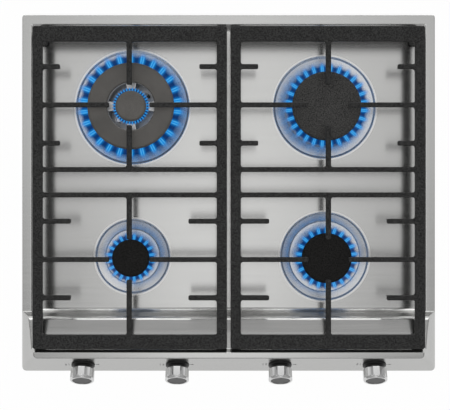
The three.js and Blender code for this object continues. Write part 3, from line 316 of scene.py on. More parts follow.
def tones(color, variation):
    dark = tuple(c * (1 - variation) for c in color)
    light = tuple(min(c * (1 + variation), 1.0) for c in color)
    return [(0.3, dark), (0.7, light)]


def surface(made, colour, gloss, relief=None):
    """Feeds the shader's colour, its roughness and, where there is one, its relief."""
    shader = shader_of(made)
    link(made, colour, shader.inputs["Base Color"])
    link(made, gloss, shader.inputs["Roughness"])
    if relief is not None:
        link(made, relief, shader.inputs["Normal"])


def brushed_steel(name, color, roughness, anisotropic, streak=0.06, depth=0.00002):
    """Stainless sheet with fine brush lines along X and a soft cloudiness."""
    made = material(name, color, roughness, 1.0, anisotropic)
    fine = stretched_noise(made, (14.0, 1500.0, 1500.0), 3.0, 0.6)
    broad = stretched_noise(made, (5.0, 260.0, 260.0), 2.0, 0.55, 3.1)
    blend = node(made, "ShaderNodeMix", data_type="FLOAT")
    blend.inputs[0].default_value = 0.5
    link(made, fine.outputs["Fac"], blend.inputs[2])
    link(made, broad.outputs["Fac"], blend.inputs[3])
    tint = ramp(made, blend.outputs[0], tones(color, streak))
    gloss = ramp(made, blend.outputs[0], [(0.3, roughness * 0.85), (0.7, roughness * 1.15)])
    surface(made, tint, gloss, bump(made, fine.outputs["Fac"], 0.25, depth))
    tangent = node(made, "ShaderNodeTangent", direction_type="RADIAL", axis="X")
    link(made, tangent.outputs["Tangent"], shader_of(made).inputs["Tangent"])
    return made


def speckled(name, dark, light, roughness, grain, specular, depth):
    """Matt enamel or cast iron: small grains of two tones with a sandy relief."""
    made = material(name, dark, roughness, 0.0, 0.0, specular)
    sand = stretched_noise(made, (grain,) * 3, 3.0, 0.65)
    broad = stretched_noise(made, (45.0, 45.0, 45.0), 2.0, 0.5, 5.3)
    tint = ramp(made, sand.outputs["Fac"], [(0.35, dark), (0.62, light)])
    shade = ramp(made, broad.outputs["Fac"], [(0.3, 0.82), (0.7, 1.0)])
    product = node(made, "ShaderNodeMix", data_type="RGBA", blend_type="MULTIPLY")
    product.inputs[0].default_value = 1.0
    link(made, tint, product.inputs[6])
    link(made, shade, product.inputs[7])
    gloss = ramp(made, sand.outputs["Fac"], [(0.3, min(roughness + 0.1, 1.0)), (0.7, roughness - 0.1)])
    surface(made, product.outputs[2], gloss, bump(made, sand.outputs["Fac"], 0.5, depth))
    return made


def cast_metal(name, color, roughness, grain=500.0, metallic=1.0, variation=0.1, depth=0.00005):
    """Metal with fine grains of slightly different tone and gloss. grain is features per metre."""
    made = material(name, color, roughness, metallic)
    grainy = stretched_noise(made, (grain,) * 3, 3.0, 0.6).outputs["Fac"]
    gloss = ramp(made, grainy, [(0.3, roughness * 0.8), (0.7, roughness * 1.2)])
    surface(made, ramp(made, grainy, tones(color, variation)), gloss, bump(made, grainy, 0.3, depth))
    return made


def spangled_zinc(name):
    """Galvanised sheet with large soft crystals."""
    made = material(name, (0.5, 0.51, 0.52), 0.42, 1.0)
    place = node(made, "ShaderNodeTexCoord")
    crystals = node(made, "ShaderNodeTexVoronoi")
    crystals.inputs["Scale"].default_value = 90.0
    link(made, place.outputs["Object"], crystals.inputs["Vector"])
    tint = ramp(made, crystals.outputs["Color"], [(0.2, (0.42, 0.43, 0.44)), (0.8, (0.58, 0.59, 0.6))])
    gloss = ramp(made, crystals.outputs["Color"], [(0.2, 0.34), (0.8, 0.5)])
    surface(made, tint, gloss)
    return made


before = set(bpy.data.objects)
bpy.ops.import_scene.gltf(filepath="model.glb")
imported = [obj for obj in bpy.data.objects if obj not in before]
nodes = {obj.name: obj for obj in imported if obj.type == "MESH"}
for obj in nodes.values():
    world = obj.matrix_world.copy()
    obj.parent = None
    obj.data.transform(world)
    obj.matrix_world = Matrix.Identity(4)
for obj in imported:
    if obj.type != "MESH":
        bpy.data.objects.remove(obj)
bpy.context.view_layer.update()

STEEL = brushed_steel("panel_brushed", (0.61, 0.61, 0.60), 0.23, 0.75, 0.04)
POLISHED = cast_metal("dish_polished", (0.8, 0.8, 0.79), 0.3, 900.0, 1.0, 0.03, 0.00001)
IRON = speckled(
    "grate_iron_speckle", grey(0.002), (0.052, 0.052, 0.051), 0.46, 560.0, 0.34, 0.0006,
)
BLACK_CAP = speckled(
    "cap_black_speckle", grey(0.002), (0.024, 0.023, 0.022), 0.62, 600.0, 0.2, 0.00015,
)
SANDY_CAP = speckled(
    "cap_sandy_speckle", grey(0.004), (0.11, 0.108, 0.104), 0.55, 600.0, 0.4, 0.0003,
)
GREY_CAP = speckled("cap_grey_satin", (0.11, 0.104, 0.096), (0.21, 0.2, 0.186), 0.4, 900.0, 0.5, 0.00008)
ALUMINIUM = cast_metal("burner_cast_aluminium", (0.62, 0.63, 0.64), 0.35, 700.0)
TUBE = cast_metal("pipe_drawn_aluminium", (0.66, 0.67, 0.68), 0.3, 400.0)
ZINC = spangled_zinc("box_galvanised")
BRASS = cast_metal("tap_brass", (0.62, 0.46, 0.2), 0.32, 500.0)
STEM = cast_metal("stem_turned_steel", (0.55, 0.55, 0.56), 0.3, 900.0)
CHROME = cast_metal("knob_chrome_plate", grey(0.78), 0.1, 1200.0, 1.0, 0.02, 0.000005)
KNOB_FACE = cast_metal("knob_face_grey", grey(0.08), 0.35, 1500.0, 0.6, 0.12)
PLASTIC = speckled(
    "black_moulding", grey(0.006), grey(0.012), 0.4, 2500.0, 0.45, 0.00003,
)
RUBBER = speckled(
    "grate_foot_rubber", grey(0.01), grey(0.018), 0.85, 1500.0, 0.3, 0.00005,
)
PRINT = speckled("fascia_print", (0.02, 0.02, 0.022), (0.03, 0.03, 0.032), 0.6, 1500.0, 0.3, 0.00002)
FOAM = speckled("seal_closed_cell", grey(0.03), grey(0.06), 0.95, 1200.0, 0.2, 0.0002)
CERAMIC = speckled(
    "electrode_porcelain", (0.68, 0.66, 0.6), (0.78, 0.76, 0.7), 0.45, 1500.0, 0.5, 0.00003,
)
MODULE = speckled(
    "module_grey_moulding", (0.1, 0.105, 0.11), (0.14, 0.145, 0.15), 0.5, 1800.0, 0.45, 0.00005,
)

# What each solid is made of, by the start of its name. The first start that fits counts.
NODE_MATERIALS = {
    "top_panel": STEEL, "burner_box": ZINC, "flange_seal": FOAM, "clamp_": ZINC, "grate_foot_": RUBBER,
    "grate_": IRON, "cup_": ALUMINIUM, "crown_": ALUMINIUM, "cap_rear_left": GREY_CAP,
    "cap_": BLACK_CAP, "electrode_": CERAMIC, "knob_": CHROME, "bezel_": PLASTIC, "valve_stem_": STEM,
    "valve_": BRASS, "supply_pipe_": TUBE, "gas_manifold": ZINC, "gas_inlet_elbow": BRASS,
    "ignition_module": MODULE, "cable_gland": PLASTIC,
}


for node_name, obj in nodes.items():
    chosen = next(look for start, look in NODE_MATERIALS.items() if node_name.startswith(start))
    obj.data.materials.clear()
    obj.data.materials.append(chosen)


# ---- Top panel ----

CORNER_FOLD = 6.0
RIM_FOLD = 1.2
WELL_LIP_FOLD = 1.6
RAMP_FOOT_FOLD = 5.0
WELL_FOOT_FOLD = 2.0
WELL_CORNER_FOLD = 4.0
CONSOLE_FOLDS = (1.2, 1.0, 1.0, 3.0, 5.0)
CONSOLE_END_FOLDS = (CORNER_FOLD, 2.0, 2.0, 2.0, 2.0, 2.0)


def panel_corners(bm):
    """The ends of all folds: console left and right, its foot, rear flange, well top, well floor and rim."""

    def v(x, y, z):
        return bm.verts.new((x, y, FLANGE_Z + z))

    top_x = HALF_X - WELL_TOP_INSET
    low_x = top_x - WELL_WALL_RUN
    top_y = REAR_Y - WELL_TOP_INSET
    low_y = top_y - WELL_WALL_RUN
    depth = FLANGE_Z - WELL_Z
    drop = RIM_BOTTOM_Z - FLANGE_Z
    foot_y = CONSOLE[-1][0]
    slope = (foot_y - CONSOLE[-2][0]) / CONSOLE[-2][1]
    low_foot_y = foot_y + depth * slope
    left, right = ([v(side * (HALF_X - SIDE_SLOPE * z), y, z) for y, z in CONSOLE] for side in (-1, 1))
    half_ramp = [(top_x, foot_y, 0), (low_x, low_foot_y, -depth)]
    foot = [v(-x, y, z) for x, y, z in half_ramp] + [v(*corner) for corner in half_ramp[::-1]]
    rear = [v(x, REAR_Y, 0) for x in (-HALF_X, HALF_X)]
    well_top = [v(x, top_y, 0) for x in (-top_x, top_x)]
    well_low = [v(x, low_y, -depth) for x in (-low_x, low_x)]
    rim = [v(x, y, drop) for x, y in rectangle(-HALF_X, HALF_X, FRONT_Y, REAR_Y)]
    return left, right, foot, rear, well_top, well_low, rim


def panel_cage():
    """The panel's upper surface with sharp folds, and how wide each fold is rounded."""
    bm = bmesh.new()
    weight = bm.edges.layers.float.new("bevel_weight_edge")
    left, right, foot, rear, well_top, well_low, rim = panel_corners(bm)
    for i in range(len(CONSOLE) - 2):
        bm.faces.new((left[i], right[i], right[i + 1], left[i + 1]))
    faces = [
        (left[-2], right[-2], right[-1], *foot[::-1], left[-1]),
        left,
        right,
        (left[-1], foot[0], well_top[0], rear[0]),
        (right[-1], foot[3], well_top[1], rear[1]),
        (rear[0], well_top[0], well_top[1], rear[1]),
        (foot[0], foot[1], well_low[0], well_top[0]),
        (foot[3], foot[2], well_low[1], well_top[1]),
        (well_top[0], well_low[0], well_low[1], well_top[1]),
        (foot[1], foot[2], well_low[1], well_low[0]),
        (rim[0], rim[1], right[0], left[0]),
        (rim[1], rim[2], rear[1], right[-1], right[0]),
        (rim[2], rim[3], rear[0], rear[1]),
        (rim[3], rim[0], left[0], left[-1], rear[0]),
    ]
    for corners in faces:
        bm.faces.new(corners)

    def mark(width, *pairs):
        for a, b in pairs:
            bm.edges.get((a, b))[weight] = width / CORNER_FOLD

    mark(CORNER_FOLD, (rim[0], left[0]), (rim[1], right[0]), (rim[2], rear[1]), (rim[3], rear[0]))
    mark(RIM_FOLD, (left[0], right[0]), (rear[0], rear[1]), (left[-1], rear[0]), (right[-1], rear[1]))
    mark(RIM_FOLD, (left[0], left[-1]), (right[0], right[-1]), (left[-1], foot[0]), (right[-1], foot[3]))
    mark(RIM_FOLD, (foot[0], foot[1]), (foot[2], foot[3]))
    mark(WELL_LIP_FOLD, (foot[0], well_top[0]), (foot[3], well_top[1]), (well_top[0], well_top[1]))
    mark(RAMP_FOOT_FOLD, (foot[1], foot[2]))
    mark(WELL_FOOT_FOLD, (foot[1], well_low[0]), (foot[2], well_low[1]), (well_low[0], well_low[1]))
    mark(WELL_CORNER_FOLD, (well_top[0], well_low[0]), (well_top[1], well_low[1]))
    for index, width in enumerate(CONSOLE_FOLDS, 1):
        mark(width, (left[index], right[index]))
    for side in (left, right):
        for index, width in enumerate(CONSOLE_END_FOLDS):
            mark(width, (side[index], side[index + 1]))
    return bm


def evaluated_bmesh(obj):
    graph = bpy.context.evaluated_depsgraph_get()
    mesh = obj.evaluated_get(graph).to_mesh()
    bm = bmesh.new()
    bm.from_mesh(mesh)
    obj.evaluated_get(graph).to_mesh_clear()
    return bm


def bevelled_cage(bm):
    mesh = bpy.data.meshes.new("cage")
    bmesh.ops.recalc_face_normals(bm, faces=bm.faces)
    bm.to_mesh(mesh)
    bm.free()
    obj = add_object("cage", mesh)
    folds = obj.modifiers.new("folds", "BEVEL")
    folds.limit_method = "WEIGHT"
    folds.width = CORNER_FOLD
    folds.segments = 4
    folds.use_clamp_overlap = True
    result = evaluated_bmesh(obj)
    bpy.data.objects.remove(obj)
    bpy.data.meshes.remove(mesh)
    return result


DISH_SEGMENTS = 128
LIP_MARGIN = 3.0
LIP_RUN = 2.0
LIP_DROP = 1.6
CONE_FOOT_RUN = 1.5
CONE_FOOT_RISE = 0.6


def dish_profile(burner):
    """From the well's floor over the rounded lip, down the polished cone and across to the burner's hole."""
    rim, floor = burner["dish"], burner["floor"]
    hole = burner["cap"] - CAP_OVERHANG - CUP_INSET - CUP_SHANK_INSET + CUP_HOLE_CLEARANCE
    points = [
        (rim + LIP_MARGIN, WELL_Z), (rim, WELL_Z), (rim - LIP_RUN, WELL_Z - LIP_DROP),
        (floor + CONE_FOOT_RUN, DISH_Z + CONE_FOOT_RISE), (floor, DISH_Z), (hole, DISH_Z),
    ]
    return soften(points, [0, 3.5, 3.0, 2.0, 1.5, 0], 5, closed=False)


def well_floor(bm):
    """The cage's largest flat face at the well's level."""
    level = (f for f in bm.faces if abs(f.calc_center_median().z - WELL_Z) < 0.01)
    return max((f for f in level if abs(f.normal.z) > 0.999), key=lambda f: f.calc_area())


def make_panel():
    bm = bevelled_cage(panel_cage())
    floor = well_floor(bm)
    flat = list(floor.verts)
    bmesh.ops.delete(bm, geom=[floor], context="FACES_ONLY")
    loops = [[Vector(v.co.xy) for v in flat]]
    for burner in BURNERS.values():
        profile = dish_profile(burner)
        rings = lathe_into(bm, profile, DISH_SEGMENTS, (burner["x"], burner["y"]), False, 1)
        loops.append([Vector(v.co.xy) for v in rings[0]])
        flat += rings[0]
    for triangle in fill(loops):
        bm.faces.new([flat[i] for i in triangle])
    obj = finish_mesh("panel_sheet", bm, [STEEL, POLISHED], 60.0, False)
    thick = obj.modifiers.new("sheet", "SOLIDIFY")
    thick.thickness = SHEET * MM
    thick.offset = -1.0
    normals = obj.modifiers.new("normals", "WEIGHTED_NORMAL")
    normals.keep_sharp = True
    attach(obj, "root")
    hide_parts("top_panel")


make_panel()


# ---- Grates ----

GRATE_INNER_X = 2.6
GRATE_OUTER_X = 273.6
GRATE_FRONT_Y = -217.0
GRATE_REAR_Y = 233.5
GRATE_REAR_BAR = 22.0
GRATE_FRONT_BAR = 20.0
GRATE_OUTER_BAR = 13.8
GRATE_INNER_BAR = 14.2
GRATE_CORNER = 3.5
GRATE_FILLET = 3.0
TIP_CORNER = 2.0
FINGER = 7.1
LONG_FINGER = 7.6
TIP_RADIUS = 28.0
STUB_OFFSET = 53.4
REAR_STUB = 24.3
FRONT_STUB = 39.5
CROSS_SPACING = 35.4
LEG_WIDTH = 14.0
LEG_CORNER = 3.4
LEG_BOTTOM_Z = 47.6
CROSS_BARS_Y = (REAR_BURNER_Y + FRONT_BURNER_Y) / 2


def frame_opening(xa, xb, ya, yb, left=(), right=(), bottom=(), top=()):
    """A rectangular opening with fingers that reach in from its sides.

    Each finger is (place along the side, width, length). Roots and corners get the larger fillet.
    """
    points, radii = [], []

    def put(x, y, radius):
        points.append((x, y))
        radii.append(radius)

    def side(start, along, inward, fingers):
        for place, width, reach in fingers:
            root_tip = [(0.0, GRATE_FILLET), (reach, TIP_CORNER)]
            corners = [(-0.5, *end) for end in root_tip] + [(0.5, *end) for end in root_tip[::-1]]
            for step, depth, radius in corners:
                run = place + step * width
                x = start[0] + along[0] * run + inward[0] * depth
                y = start[1] + along[1] * run + inward[1] * depth
                put(x, y, radius)

    def backwards(fingers):
        return sorted((-place, width, reach) for place, width, reach in fingers)

    put(xa, ya, GRATE_FILLET)
    side((0, ya), (1, 0), (0, 1), sorted(bottom))
    put(xb, ya, GRATE_FILLET)
    side((xb, 0), (0, 1), (-1, 0), sorted(right))
    put(xb, yb, GRATE_FILLET)
    side((0, yb), (-1, 0), (0, -1), backwards(top))
    put(xa, yb, GRATE_FILLET)
    side((xa, 0), (0, -1), (1, 0), backwards(left))
    return soften(points, radii, 4)


def burner_opening(xa, xb, ya, yb, burner_y, stub):
    sides = [(burner_y - STUB_OFFSET, FINGER, stub), (burner_y + STUB_OFFSET, FINGER, stub)]
    inner_reach = BURNER_X - TIP_RADIUS - xa
    outer_reach = xb - BURNER_X - TIP_RADIUS
    return frame_opening(
        xa, xb, ya, yb,
        left=[*sides, (burner_y, FINGER, inner_reach)],
        right=[*sides, (burner_y, FINGER, outer_reach)],
        bottom=[(BURNER_X, LONG_FINGER, burner_y - TIP_RADIUS - ya)],
        top=[(BURNER_X, LONG_FINGER, yb - burner_y - TIP_RADIUS)],
    )


def grate_loops():
    """The right grate in plan."""
    xa = GRATE_INNER_X + GRATE_INNER_BAR
    xb = GRATE_OUTER_X - GRATE_OUTER_BAR
    ya = GRATE_FRONT_Y + GRATE_FRONT_BAR
    yb = GRATE_REAR_Y - GRATE_REAR_BAR
    rear_cross = CROSS_BARS_Y + CROSS_SPACING / 2
    front_cross = CROSS_BARS_Y - CROSS_SPACING / 2
    edge = FINGER / 2
    outline = rectangle(GRATE_INNER_X, GRATE_OUTER_X, GRATE_FRONT_Y, GRATE_REAR_Y)
    outline = soften(outline, GRATE_CORNER, 5)
    rear = burner_opening(xa, xb, rear_cross + edge, yb, REAR_BURNER_Y, REAR_STUB)
    middle = frame_opening(xa, xb, front_cross + edge, rear_cross - edge)
    front = burner_opening(xa, xb, ya, front_cross - edge, FRONT_BURNER_Y, FRONT_STUB)
    return [outline, rear, middle, front]


def mirrored(loop, side):
    return [Vector((side * p.x, p.y)) for p in loop]


# The bars' section from the bottom up, as (inset, z).
GRATE_LEVELS = [
    (1.5, GRATE_BOTTOM_Z), (0.95, GRATE_BOTTOM_Z + 0.3), (0.75, GRATE_BOTTOM_Z + 0.9),
    (0.1, GRATE_TOP_Z - 1.5), (0.05, GRATE_TOP_Z - 0.9), (0.3, GRATE_TOP_Z - 0.35),
    (0.75, GRATE_TOP_Z - 0.08), (1.3, GRATE_TOP_Z),
]
LEG_LEVELS = [
    (1.6, LEG_BOTTOM_Z), (0.8, LEG_BOTTOM_Z + 0.5), (0.6, LEG_BOTTOM_Z + 1.2), (0.55, GRATE_BOTTOM_Z),
    (0.5, GRATE_BOTTOM_Z + 3.0),
]


def make_grate(name, side):
    bm = bmesh.new()
    slab_into(bm, [mirrored(loop, side) for loop in grate_loops()], GRATE_LEVELS)
    for xa in (GRATE_INNER_X, GRATE_OUTER_X - LEG_WIDTH):
        leg = rectangle(xa, xa + LEG_WIDTH, GRATE_REAR_Y - GRATE_REAR_BAR, GRATE_REAR_Y)
        slab_into(bm, [mirrored(soften(leg, LEG_CORNER, 5), side)], LEG_LEVELS)
    piece = finish_mesh(f"pan_support_{name}", bm, [IRON], 40.0)
    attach(piece, f"{name}_grate")
    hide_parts(f"grate_{name}")


make_grate("left", -1)
make_grate("right", 1)


# ---- Burners ----

FINE = 144
CUP_WALL = 4.0
CUP_BOTTOM_Z = 12.0
CUP_FLOOR = 6.0
CUP_TOP_Z = 55.3
CUP_FLANGE_OVERHANG = 10.0
CUP_FLANGE = 3.0
CROWN_BASE = 4.0
CROWN_WALL = 5.0
PORT_WIDTH = 2.4
PORT_DEPTH = 5.0
SLOT_FLOOR_Z = CROWN_TOP_Z - PORT_DEPTH
TOOTH_SINK = 0.2
SPIGOT_CLEARANCE = 0.5
SPIGOT_WALL = 3.5
SPIGOT_DEPTH = 6.0
INNER_CAP = 21.75
ANNULUS_INNER = 33.75
TROUGH_WALL = 3.5
HUB_WALL = 3.5
LOCATOR_WALL = 2.5
LOCATOR_DEPTH = 3.0


def centre_of(burner):
    return (burner["x"], burner["y"])


def crown_radius(burner):
    return burner["cap"] - CAP_OVERHANG


def cup_radius(burner):
    return crown_radius(burner) - CUP_INSET


def dressed(piece, body, node_name):
    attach(piece, body)
    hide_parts(node_name)


def make_cap(name, burner, inner, outer, locator, look):
    """A domed cap, annular where inner isn't 0, with a ring below it that drops into the crown."""
    low, high = CAP_BOTTOM_Z, CAP_TOP_Z
    points = [(outer - 0.8, low), (outer, low + 1.0), (outer, high - 1.8), (outer - 2.6, high - 0.25)]
    radii = [0.5, 0.6, 1.3, 3.0]
    if inner > 0:
        points += [(inner + 1.6, high - 0.1), (inner, high - 1.2), (inner, low)]
        radii += [1.0, 0.8, 0.3]
    else:
        points += [(outer * 0.6, high - 0.05), (0.0, high), (0.0, low)]
        radii += [0, 0, 0]
    ring_in, ring_low = locator - LOCATOR_WALL, low - LOCATOR_DEPTH
    points += [(ring_in, low), (ring_in, ring_low), (locator, ring_low), (locator, low)]
    radii += [0.4, 0.4, 0.4, 0.4]
    profile = soften(points, radii, 3)
    piece = lathe(f"enamel_{name}", profile, FINE, centre_of(burner), [look], None, 50.0)
    dressed(piece, f"{name}_cap", f"cap_{name}")


def sector(inner, outer, start, end, steps):
    """A piece of a ring in plan."""
    far = [start + (end - start) * k / steps for k in range(steps + 1)]
    loop = [Vector((outer * math.cos(a), outer * math.sin(a))) for a in far]
    loop += [Vector((inner * math.cos(a), inner * math.sin(a))) for a in reversed(far)]
    return loop


def shifted(loop, centre):
    return [Vector((p.x + centre[0], p.y + centre[1])) for p in loop]


def teeth_into(bm, centre, inner, outer, count, slot_width, low, edge):
    """The blocks that stand between a ring's flame slots, up to the crown's top."""
    high = CROWN_TOP_Z
    levels = [(0.0, low), (0.0, high - edge), (edge * 0.3, high - edge * 0.3), (edge, high)]
    pitch = 2 * math.pi / count
    half_slot = slot_width / 2 / outer
    for i in range(count):
        start = (i + 0.5) * pitch + half_slot
        end = (i + 1.5) * pitch - half_slot
        tooth = shifted(sector(inner, outer, start, end, 4), centre)
        slab_into(bm, [tooth], levels)


def ports_into(bm, burner):
    """The teeth between the outer ring's flame slots, sunk a little into the ring."""
    radius = crown_radius(burner)
    low = SLOT_FLOOR_Z - TOOTH_SINK
    teeth_into(bm, centre_of(burner), radius - CROWN_WALL, radius, burner["ports"], PORT_WIDTH, low, 0.5)


def spigot_points(burner):
    outer = cup_radius(burner) - CUP_WALL - SPIGOT_CLEARANCE
    inner = outer - SPIGOT_WALL
    return inner, outer, CROWN_BOTTOM_Z - SPIGOT_DEPTH


def finish_crown(name, bm):
    piece = finish_mesh(f"spreader_{name}", bm, [ALUMINIUM], 40.0)
    dressed(piece, f"{name}_crown", f"crown_{name}")


def make_single_crown(name, burner):
    radius = crown_radius(burner)
    wall = radius - CROWN_WALL
    base_top = CROWN_BOTTOM_Z + CROWN_BASE
    inner, outer, deep = spigot_points(burner)
    points = [
        (outer, CROWN_BOTTOM_Z), (cup_radius(burner), CROWN_BOTTOM_Z), (radius, base_top),
        (radius, SLOT_FLOOR_Z), (wall, SLOT_FLOOR_Z), (wall, base_top + 1), (inner, base_top),
        (inner, deep), (outer, deep),
    ]
    profile = soften(points, [0.4, 0.6, 1.2, 0.3, 0.3, 1.0, 0.8, 0.4, 0.4], 3)
    bm = bmesh.new()
    lathe_into(bm, profile, FINE, centre_of(burner))
    ports_into(bm, burner)
    finish_crown(name, bm)


HUB_RADIUS = INNER_CAP - CAP_OVERHANG / 2
TROUGH_RADIUS = ANNULUS_INNER + CAP_OVERHANG / 2
WINDOW_INNER = HUB_RADIUS + 1.2
WINDOW_OUTER = TROUGH_RADIUS - 1.2
INNER_PORTS = 36
INNER_PORT_WIDTH = 1.5
INNER_PORT_DEPTH = 3.2
BRIDGE_ROOT = 5.0
BRIDGE_END = 8.4
BRIDGE_TOP_Z = 69.1
BOSS_RING = 26.4
BOSS_ANGLE = math.radians(225)
BOSS_RADIUS = 4.3
BOSS_BORE = 3.0
BOSS_BOTTOM_Z = 58.0
BOSS_FLOOR_Z = 61.0
BOSS_TOP_Z = 66.0


def windowed_base_into(bm, centre, radius):
    """The double crown's floor, with a hole in its middle and an air window in each quarter."""
    loops = [circle(0.0, 0.0, radius - 1.5, FINE)]
    lean = math.asin(BRIDGE_ROOT / WINDOW_INNER)
    for quarter in range(4):
        start = quarter * math.pi / 2
        loops.append(sector(WINDOW_INNER, WINDOW_OUTER, start + lean, start + math.pi / 2 - lean, 12))
    loops.append(circle(0.0, 0.0, HUB_RADIUS - 2 * HUB_WALL, FINE))
    low = CROWN_BOTTOM_Z
    levels = [(0.6, low), (0.0, low + 0.6), (0.0, low + CROWN_BASE)]
    slab_into(bm, [shifted(loop, centre) for loop in loops], levels)


def walls_into(bm, centre, radius):
    """The three rings that stand on the floor: flame ring, window's outer wall and inner flame ring."""
    walls = (
        (radius - CROWN_WALL, radius, SLOT_FLOOR_Z, 1.2),
        (TROUGH_RADIUS, TROUGH_RADIUS + TROUGH_WALL, CROWN_TOP_Z - 0.3, 0.6),
        (HUB_RADIUS - HUB_WALL, HUB_RADIUS, CROWN_TOP_Z - INNER_PORT_DEPTH, 0.4),
    )
    for inner, outer, top, edge in walls:
        points = [(outer, CROWN_BOTTOM_Z), (outer, top), (inner, top), (inner, CROWN_BOTTOM_Z)]
        fine_edge = min(edge, 0.5)
        lathe_into(bm, soften(points, [edge, fine_edge, fine_edge, 0.3], 3), FINE, centre)


def bridges_into(bm, centre):
    near, far = HUB_RADIUS - 0.5, TROUGH_RADIUS + 0.5
    plan = [(near, -BRIDGE_ROOT), (far, -BRIDGE_END), (far, BRIDGE_END), (near, BRIDGE_ROOT)]
    low, high = CROWN_BOTTOM_Z + CROWN_BASE - 0.2, BRIDGE_TOP_Z
    levels = [(0.0, low), (0.0, high - 0.7), (0.3, high - 0.2), (0.9, high)]
    for quarter in range(4):
        turn = Matrix.Rotation(-quarter * math.pi / 2, 2)
        outline = soften([turn @ Vector(p) for p in plan], 1.3, 2)
        slab_into(bm, [shifted(outline, centre)], levels)


def boss_into(bm, centre):
    """The small open socket in one of the air windows."""
    place = (centre[0] + BOSS_RING * math.cos(BOSS_ANGLE), centre[1] + BOSS_RING * math.sin(BOSS_ANGLE))
    points = [
        (BOSS_RADIUS, BOSS_BOTTOM_Z), (BOSS_RADIUS, BOSS_TOP_Z), (BOSS_BORE, BOSS_TOP_Z),
        (BOSS_BORE, BOSS_FLOOR_Z), (0.0, BOSS_FLOOR_Z), (0.0, BOSS_BOTTOM_Z),
    ]
    lathe_into(bm, soften(points, [0, 0.5, 0.4, 0.4, 0, 0], 3), 32, place)


def make_double_crown(name, burner):
    """Two rings of slots joined by four broad bridges, with an air window in each quarter."""
    centre = centre_of(burner)
    radius = crown_radius(burner)
    bm = bmesh.new()
    windowed_base_into(bm, centre, radius)
    walls_into(bm, centre, radius)
    inner, outer, deep = spigot_points(burner)
    high = CROWN_BOTTOM_Z + CROWN_BASE
    spigot = soften([(outer, deep), (outer, high), (inner, high), (inner, deep)], 0.4, 2)
    lathe_into(bm, spigot, FINE, centre)
    ports_into(bm, burner)
    low = CROWN_TOP_Z - INNER_PORT_DEPTH - TOOTH_SINK
    teeth_into(bm, centre, HUB_RADIUS - HUB_WALL, HUB_RADIUS, INNER_PORTS, INNER_PORT_WIDTH, low, 0.15)
    bridges_into(bm, centre)
    boss_into(bm, centre)
    finish_crown(name, bm)


def make_cup(name, burner):
    low = DISH_Z + 0.3
    high = low + CUP_FLANGE
    cup = cup_radius(burner)
    flange = cup + CUP_FLANGE_OVERHANG
    bore = cup - CUP_WALL
    shank = cup - CUP_SHANK_INSET
    well = shank - CUP_WALL
    floor = CUP_BOTTOM_Z + CUP_FLOOR
    points = [
        (0.0, CUP_BOTTOM_Z), (shank, CUP_BOTTOM_Z), (shank, low), (flange, low), (flange, high), (cup, high),
        (cup, CUP_TOP_Z), (bore, CUP_TOP_Z), (bore, low), (well, low), (well, floor), (0.0, floor),
    ]
    profile = soften(points, [0, 2.0, 0.5, 0.6, 1.2, 1.5, 0.6, 0.6, 1.0, 1.0, 2.0, 0], 4)
    piece = lathe(f"body_{name}", profile, FINE, centre_of(burner), [ALUMINIUM], None, 40.0)
    dressed(piece, "root", f"cup_{name}")


ELECTRODE_ANGLE = math.radians(40)
PORCELAIN_RADIUS = 2.45
NECK_RADIUS = 1.4
PIN_RADIUS = 0.75
PIN_LENGTH = 7.0
PIN_SINK = 2.0
PORCELAIN_TAIL = 12.0


def make_electrode(name, burner):
    """A porcelain rod with a steel pin. The double burner's stands between its two rings of slots."""
    double = name == "rear_left"
    reach = (INNER_CAP + ANNULUS_INNER) / 2 if double else crown_radius(burner) - 0.5
    x = burner["x"] + reach * math.cos(ELECTRODE_ANGLE)
    y = burner["y"] + reach * math.sin(ELECTRODE_ANGLE)
    tail = CUP_BOTTOM_Z if double else DISH_Z - PORCELAIN_TAIL
    top = CROWN_TOP_Z - PIN_SINK
    collar = top - PIN_LENGTH
    points = [
        (0.0, tail), (PORCELAIN_RADIUS, tail), (PORCELAIN_RADIUS, collar), (NECK_RADIUS, collar + 0.6),
        (NECK_RADIUS, collar + 1.4), (PIN_RADIUS, collar + 1.6), (PIN_RADIUS, top - 0.6),
        (0.3, top), (0.0, top),
    ]
    profile = soften(points, [0, 0.4, 0.5, 0.3, 0.3, 0.1, 0.3, 0.2, 0], 3)
    slots = [int((a.y + b.y) / 2 > collar + 1.5) for a, b in zip(profile, profile[1:] + profile[:1])]
    piece = lathe(f"spark_{name}", profile, 32, (x, y), [CERAMIC, STEM], slots, 40.0)
    dressed(piece, "root", f"electrode_{name}")


def make_caps(name, burner):
    locator = crown_radius(burner) - CROWN_WALL - SPIGOT_CLEARANCE
    if name == "rear_left":
        hub_locator = HUB_RADIUS - HUB_WALL - SPIGOT_CLEARANCE
        make_cap("rear_left_outer", burner, ANNULUS_INNER, burner["cap"], locator, GREY_CAP)
        make_cap("rear_left_inner", burner, 0.0, INNER_CAP, hub_locator, GREY_CAP)
    else:
        look = SANDY_CAP if name == "rear_right" else BLACK_CAP
        make_cap(name, burner, 0.0, burner["cap"], locator, look)


for burner_name, burner_data in BURNERS.items():
    make_crown = make_double_crown if burner_name == "rear_left" else make_single_crown
    make_cup(burner_name, burner_data)
    make_electrode(burner_name, burner_data)
    make_crown(burner_name, burner_data)
    make_caps(burner_name, burner_data)


# ---- Knobs and collars ----

TAP_Y = -243.5
TAP_Z = 72.5
TAP_TILT = math.atan2(45.0, 26.0)
KNOB_BACK = 7.0
KNOB_FRONT = 24.0
KNOB_RADIUS = 17.0
KNOB_SIDES = 12
KNOB_BAND = 3.5
KNOB_RIM_RADIUS = 16.9
KNOB_SHELL_BORE = 14.4
KNOB_HOLLOW = 0.45
KNOB_WEB = 19.5
KNOB_FACE_RADIUS = 13.5
KNOB_FACE_SINK = 0.8
KNOB_HUB_RADIUS = 6.5
KNOB_HUB_BACK = 9.5
KNOB_BORE = 3.0
POINTER_HALF_WIDTH = 1.7
POINTER_START = 8.6


